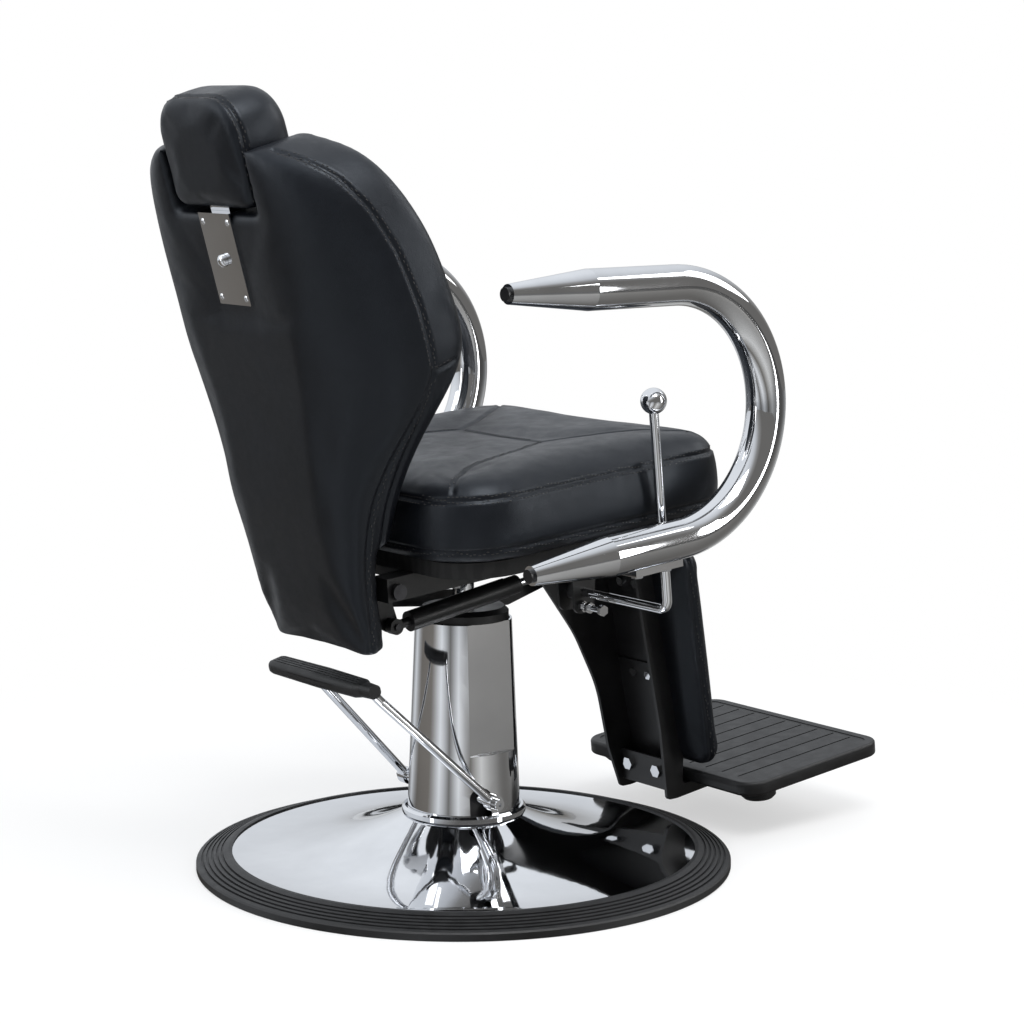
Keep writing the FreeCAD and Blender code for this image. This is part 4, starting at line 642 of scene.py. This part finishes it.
# Where the cover is held flat: round the plate, in the headrest's notch and beside the seat frame
PLATE_HOLD_HALF = 0.040
PLATE_HOLD_FOOT = 0.428
PLATE_HOLD_DEPTH = 0.012
NOTCH_HOLD_HALF = 0.104
NOTCH_HOLD_FOOT = 0.540
FRONT_HOLD_TOP = 0.140
FRONT_HOLD_DEPTH = 0.026
# Height up the back and depth forward of its rear plane, for the line of the lower panel
LOWER_LINE = [(0.004, 0.006), (0.060, 0.010), (0.120, 0.016), (0.180, 0.028), (0.240, 0.050), (0.300, 0.078),
              (0.342, 0.094)]
LOWER_LINE_ROUNDS = 2
# The lower back is fuller than its solid, up to the straight edge that the photograph shows
BELLY_OUT = 0.013
BELLY_REAR = 0.010
BELLY_HALF = 0.090
BELLY_FOOT = 0.060
BELLY_LOW = 0.170
BELLY_TOP = 0.330
BELLY_DEPTH = 0.045
BELLY_FOOT_SHARE = 0.55


def back_row(height):
    for low, high in zip(BACK_ROWS, BACK_ROWS[1:]):
        if low[0] <= height <= high[0]:
            share = (height - low[0]) / (high[0] - low[0])
            return [a + (b - a) * share for a, b in zip(low[1:], high[1:])]
    return BACK_ROWS[-1][1:]


def back_seam(side, foot, top):
    line = []
    for step in range(BACK_SEAM_STEPS + 1):
        height = foot + (top - foot) * step / BACK_SEAM_STEPS
        half, depth, _ = back_row(height)
        line.append(BACK @ Vector((side * half, -depth, height)))
    return line


def lower_line(side):
    line = []
    for height, depth in LOWER_LINE:
        line.append(BACK @ Vector((side * back_row(height)[0], -depth, height)))
    return walk(rounded(line, LOWER_LINE_ROUNDS), LINE_STEP)


def eased(share):
    share = min(max(share, 0.0), 1.0)
    return share * share * (3.0 - 2.0 * share)


def fill_belly(piece):
    turn = BACK.inverted()
    for vertex in piece.data.vertices:
        place = turn @ vertex.co
        low = BELLY_FOOT_SHARE + (1.0 - BELLY_FOOT_SHARE) * eased(place.z / BELLY_FOOT)
        high = eased((BELLY_TOP - place.z) / (BELLY_TOP - BELLY_LOW))
        rear = eased((BELLY_DEPTH + place.y) / BELLY_DEPTH)
        amount = low * high * rear
        out = BELLY_OUT * eased(abs(place.x) / BELLY_HALF)
        place += Vector((math.copysign(out, place.x), BELLY_REAR, 0.0)) * amount
        vertex.co = BACK @ place
    piece.data.update()


def cross_seam(side):
    half, depth, wing = back_row(BACK_CROSS)
    first = BACK @ Vector((side * half, -depth, BACK_CROSS))
    last = BACK @ Vector((side * half, -wing + WING_EDGE, BACK_CROSS + CROSS_RISE))
    return [first.lerp(last, step / CROSS_STEPS) for step in range(CROSS_STEPS + 1)]


def back_held(piece):
    turn = BACK.inverted()
    held = []
    for vertex in piece.data.vertices:
        place = turn @ vertex.co
        across = abs(place.x)
        depth = -place.y
        on_plate = across < PLATE_HOLD_HALF and place.z > PLATE_HOLD_FOOT and depth < PLATE_HOLD_DEPTH
        in_notch = across < NOTCH_HOLD_HALF and place.z > NOTCH_HOLD_FOOT
        by_frame = place.z < FRONT_HOLD_TOP and depth > FRONT_HOLD_DEPTH
        if on_plate or in_notch or by_frame:
            held.append(vertex.index)
    return held


def make_back():
    piece = plain_mesh("back_cover", ["back_shell", "back_cushion", "back_board"])
    remeshed(piece, VOXEL)
    largest_island(piece)
    fill_belly(piece)
    relaxed(piece, BACK_SMOOTH_FIRST)
    tree = surface(piece)
    upper = [laid_on(tree, back_seam(side, BACK_CROSS, BACK_SEAM_TOP)) for side in BOTH_SIDES]
    lower = [laid_on(tree, back_seam(side, BACK_SEAM_FOOT, BACK_CROSS)) for side in BOTH_SIDES]
    cross = [laid_on(tree, cross_seam(side)) for side in BOTH_SIDES]
    panel = [laid_on(tree, lower_line(side)) for side in BOTH_SIDES]
    held = near_seams(piece, upper + lower + panel) + back_held(piece)
    puffed(piece, sorted(set(held)), BACK_CAP, BACK_PRESSURE)
    relaxed(piece, BACK_SMOOTH_LAST)
    subdivided(piece)
    tree = surface(piece)
    groups = (upper, lower, cross, panel)
    upper, lower, cross, panel = [[laid_on(tree, line) for line in group] for group in groups]
    draw_in_seams(piece, upper + lower + cross + panel)
    dressed(piece, "back", ["back_shell", "back_cushion"])
    tree = surface(piece)
    stitched("back_stitching", tree, upper, (-STITCH_OFFSET, STITCH_OFFSET), "back")
    stitched("back_lower_stitching_right", tree, panel[:1], (STITCH_OFFSET,), "back")
    stitched("back_lower_stitching_left", tree, panel[1:], (-STITCH_OFFSET,), "back")
    stitched("back_cross_stitching", tree, cross, (-STITCH_OFFSET,), "back")


# Headrest and calf pad

HEADREST_SEAM_DEPTH = 0.012
HEADREST_ROUND = 0.046
CALF_SEAM_DEPTH = 0.009
CALF_ROUND = 0.026
PAD_CAP = 0.003
PAD_PRESSURE = 1.5
PAD_SMOOTH_FIRST = 3
PAD_SMOOTH_LAST = 7
PAD_CORNER_STEPS = 9


def panel_line(place, depth, foot_half, top_half, foot, top, radius):
    line = [Vector((-foot_half, -depth, foot)), Vector((-top_half, -depth, top - radius))]
    for step in range(1, PAD_CORNER_STEPS + 1):
        turn = math.radians(180.0 - 90.0 * step / PAD_CORNER_STEPS)
        across = -top_half + radius + radius * math.cos(turn)
        line.append(Vector((across, -depth, top - radius + radius * math.sin(turn))))
    mirror = [Vector((-point.x, point.y, point.z)) for point in reversed(line)]
    return [place @ point for point in walk(line + mirror, LINE_STEP)]


def make_pad(name, node, body, line, offsets):
    piece = plain_mesh(name, [node])
    remeshed(piece, PAD_VOXEL)
    largest_island(piece)
    relaxed(piece, PAD_SMOOTH_FIRST)
    seam = laid_on(surface(piece), line)
    puffed(piece, near_seams(piece, [seam]), PAD_CAP, PAD_PRESSURE)
    relaxed(piece, PAD_SMOOTH_LAST)
    subdivided(piece)
    seam = laid_on(surface(piece), seam)
    draw_in_seams(piece, [seam])
    dressed(piece, body, [node])
    stitched(name + "_stitching", surface(piece), [seam], offsets, body)


make_seat()
make_back()
headrest_line = panel_line(BACK, HEADREST_SEAM_DEPTH, HEADREST_HALF, HEADREST_HALF, HEADREST_FOOT,
                           HEADREST_TOP, HEADREST_ROUND)
calf_line = panel_line(CALF, CALF_SEAM_DEPTH, CALF_FOOT_HALF, CALF_TOP_HALF, -CALF_HEIGHT, 0.0, CALF_ROUND)
make_pad("headrest_cover", "headrest_pad", "headrest", headrest_line, (-STITCH_OFFSET, STITCH_OFFSET))
make_pad("calf_cover", "calf_pad", "foot", calf_line, (STITCH_OFFSET,))


# Camera, floor and light

# Fitted to the photograph
CAMERA_PLACE = Vector((-2.73145, 2.09663, 0.98556))
CAMERA_AZIMUTH = math.radians(231.44)
CAMERA_PITCH = math.radians(8.62)
LENS = 94.92


def add_camera():
    data = bpy.data.cameras.new("camera")
    data.lens = LENS
    data.sensor_width = 36.0
    data.sensor_height = 36.0
    data.clip_end = 50.0
    camera = bpy.data.objects.new("camera", data)
    level = math.cos(CAMERA_PITCH)
    ahead_x = -math.sin(CAMERA_AZIMUTH) * level
    ahead_y = math.cos(CAMERA_AZIMUTH) * level
    ahead = Vector((ahead_x, ahead_y, -math.sin(CAMERA_PITCH)))
    camera.location = CAMERA_PLACE
    camera.rotation_euler = ahead.to_track_quat("-Z", "Y").to_euler()
    scene.collection.objects.link(camera)
    scene.camera = camera


FLOOR_HALF = 9.0
# The camera sees the floor partly white under the chair and all white further out
FLOOR_NEAR = 0.45
FLOOR_FAR = 1.30
FLOOR_NEAR_WHITE = 0.55
WHITE = (1.0, 1.0, 1.0, 1.0)
# Painted reflection and shade: for every ray but the camera's the floor is painted in dark and light bands,
# from the camera's right to its left, which the chair mirrors and takes as bounce light
CAMERA_LEFT = (0.623, 0.782, 0.0)
FLOOR_PAINTED_LIGHT_TONES = (
    (0.00, (0.100, 0.095, 0.088)),
    (0.20, (0.480, 0.475, 0.460)),
    (0.38, (0.120, 0.112, 0.100)),
    (0.58, (0.620, 0.625, 0.630)),
    (0.74, (0.130, 0.125, 0.118)),
    (0.88, (0.640, 0.650, 0.660)),
    (0.98, (0.140, 0.125, 0.108)),
)


def floor_colour(nodes, links, place, seen):
    around = vector_math(nodes, links, "NORMALIZE", place)["Vector"]
    toward = vector_math(nodes, links, "DOT_PRODUCT", around, CAMERA_LEFT)["Value"]
    turn = spread(nodes, links, toward, low=0.0, high=1.0, from_low=-1.0, from_high=1.0)
    cloud = noise(nodes, links, place, scale=0.6, detail=2.0)
    pale = tint(nodes, links, cloud, dark=(0.88, 0.88, 0.88), light=(0.90, 0.90, 0.90))
    mix = nodes.new("ShaderNodeMix")
    mix.data_type = "RGBA"
    links.new(seen, mix.inputs["Factor"])
    # Painted reflection and shade bands, seen by every ray but the camera's; the camera sees the pale floor
    links.new(toned(nodes, links, turn, FLOOR_PAINTED_LIGHT_TONES), mix.inputs["A"])
    links.new(pale, mix.inputs["B"])
    return mix.outputs["Result"]


def floor_white_share(nodes, links, place, seen):
    length = vector_math(nodes, links, "LENGTH", place)["Value"]
    share = nodes.new("ShaderNodeMath")
    share.operation = "MULTIPLY"
    links.new(spread(nodes, links, length, FLOOR_NEAR_WHITE, 1.0, FLOOR_NEAR, FLOOR_FAR), share.inputs[0])
    links.new(seen, share.inputs[1])
    return share.outputs["Value"]


def floor_material():
    material, nodes, links, shader, place = new_material("studio_floor")
    seen = nodes.new("ShaderNodeLightPath").outputs["Is Camera Ray"]
    links.new(floor_colour(nodes, links, place, seen), shader.inputs["Base Color"])
    shader.inputs["Roughness"].default_value = 0.8
    shader.inputs["Specular IOR Level"].default_value = 0.1
    white = nodes.new("ShaderNodeEmission")
    white.inputs["Color"].default_value = WHITE
    white.inputs["Strength"].default_value = 1.0
    share = floor_white_share(nodes, links, place, seen)
    mixed = mix_shaders(nodes, links, share, shader.outputs["BSDF"], white.outputs["Emission"])
    links.new(mixed, nodes["Material Output"].inputs["Surface"])
    return material


def add_floor():
    mesh = bpy.data.meshes.new("floor")
    half = FLOOR_HALF
    corners = [(-half, -half, 0), (half, -half, 0), (half, half, 0), (-half, half, 0)]
    mesh.from_pydata(corners, [], [(0, 1, 2, 3)])
    floor = bpy.data.objects.new("floor", mesh)
    scene.collection.objects.link(floor)
    mesh.materials.append(floor_material())


# Name, place, aim, width, height and watts
LAMPS = (
    ("left_strip", (0.43, 2.95, 1.2), (0, 0, 0.6), 0.4, 2.0, 7.0),
    ("right_strip", (-2.56, -1.58, 1.2), (0, 0, 0.6), 0.5, 2.0, 22.0),
    ("key", (-1.6, 0.6, 3.4), (0, 0, 0.5), 1.8, 1.8, 75.0),
    ("rear_fill", (1.6, 3.0, 2.4), (0, 0, 0.5), 1.4, 1.8, 12.0),
    ("front_fill", (-1.2, -3.0, 2.6), (0, 0, 0.5), 1.6, 2.0, 35.0),
)


def add_lamp(name, place, target, width, height, watts):
    data = bpy.data.lights.new(name, "AREA")
    data.shape = "RECTANGLE"
    data.size = width
    data.size_y = height
    data.energy = watts
    lamp = bpy.data.objects.new(name, data)
    lamp.location = place
    lamp.rotation_euler = (Vector(target) - Vector(place)).to_track_quat("-Z", "Y").to_euler()
    scene.collection.objects.link(lamp)


# The studio is bright overhead, beyond the chair and to the camera's left, and darker to its right
STUDIO_UP = (0.62, 0.22, 1.0)
STUDIO_TONES = (
    (0.00, (0.170, 0.165, 0.158)),
    (0.24, (0.320, 0.318, 0.315)),
    (0.50, (0.680, 0.705, 0.740)),
    (0.85, (0.920, 0.955, 1.000)),
)


def add_world():
    world = bpy.data.worlds.new("studio")
    world.use_nodes = True
    nodes = world.node_tree.nodes
    links = world.node_tree.links
    place = nodes.new("ShaderNodeTexCoord").outputs["Generated"]
    bright = vector_math(nodes, links, "DOT_PRODUCT", place, STUDIO_UP)["Value"]
    shade = nodes["Background"]
    shade.inputs["Strength"].default_value = 1.0
    links.new(toned(nodes, links, bright, STUDIO_TONES), shade.inputs["Color"])
    white = nodes.new("ShaderNodeBackground")
    white.inputs["Color"].default_value = WHITE
    white.inputs["Strength"].default_value = 1.0
    seen = nodes.new("ShaderNodeLightPath").outputs["Is Camera Ray"]
    mixed = mix_shaders(nodes, links, seen, shade.outputs["Background"], white.outputs["Background"])
    links.new(mixed, nodes["World Output"].inputs["Surface"])
    scene.world = world


add_camera()
add_floor()
add_world()
for lamp in LAMPS:
    add_lamp(*lamp)
scene.view_settings.view_transform = "Standard"
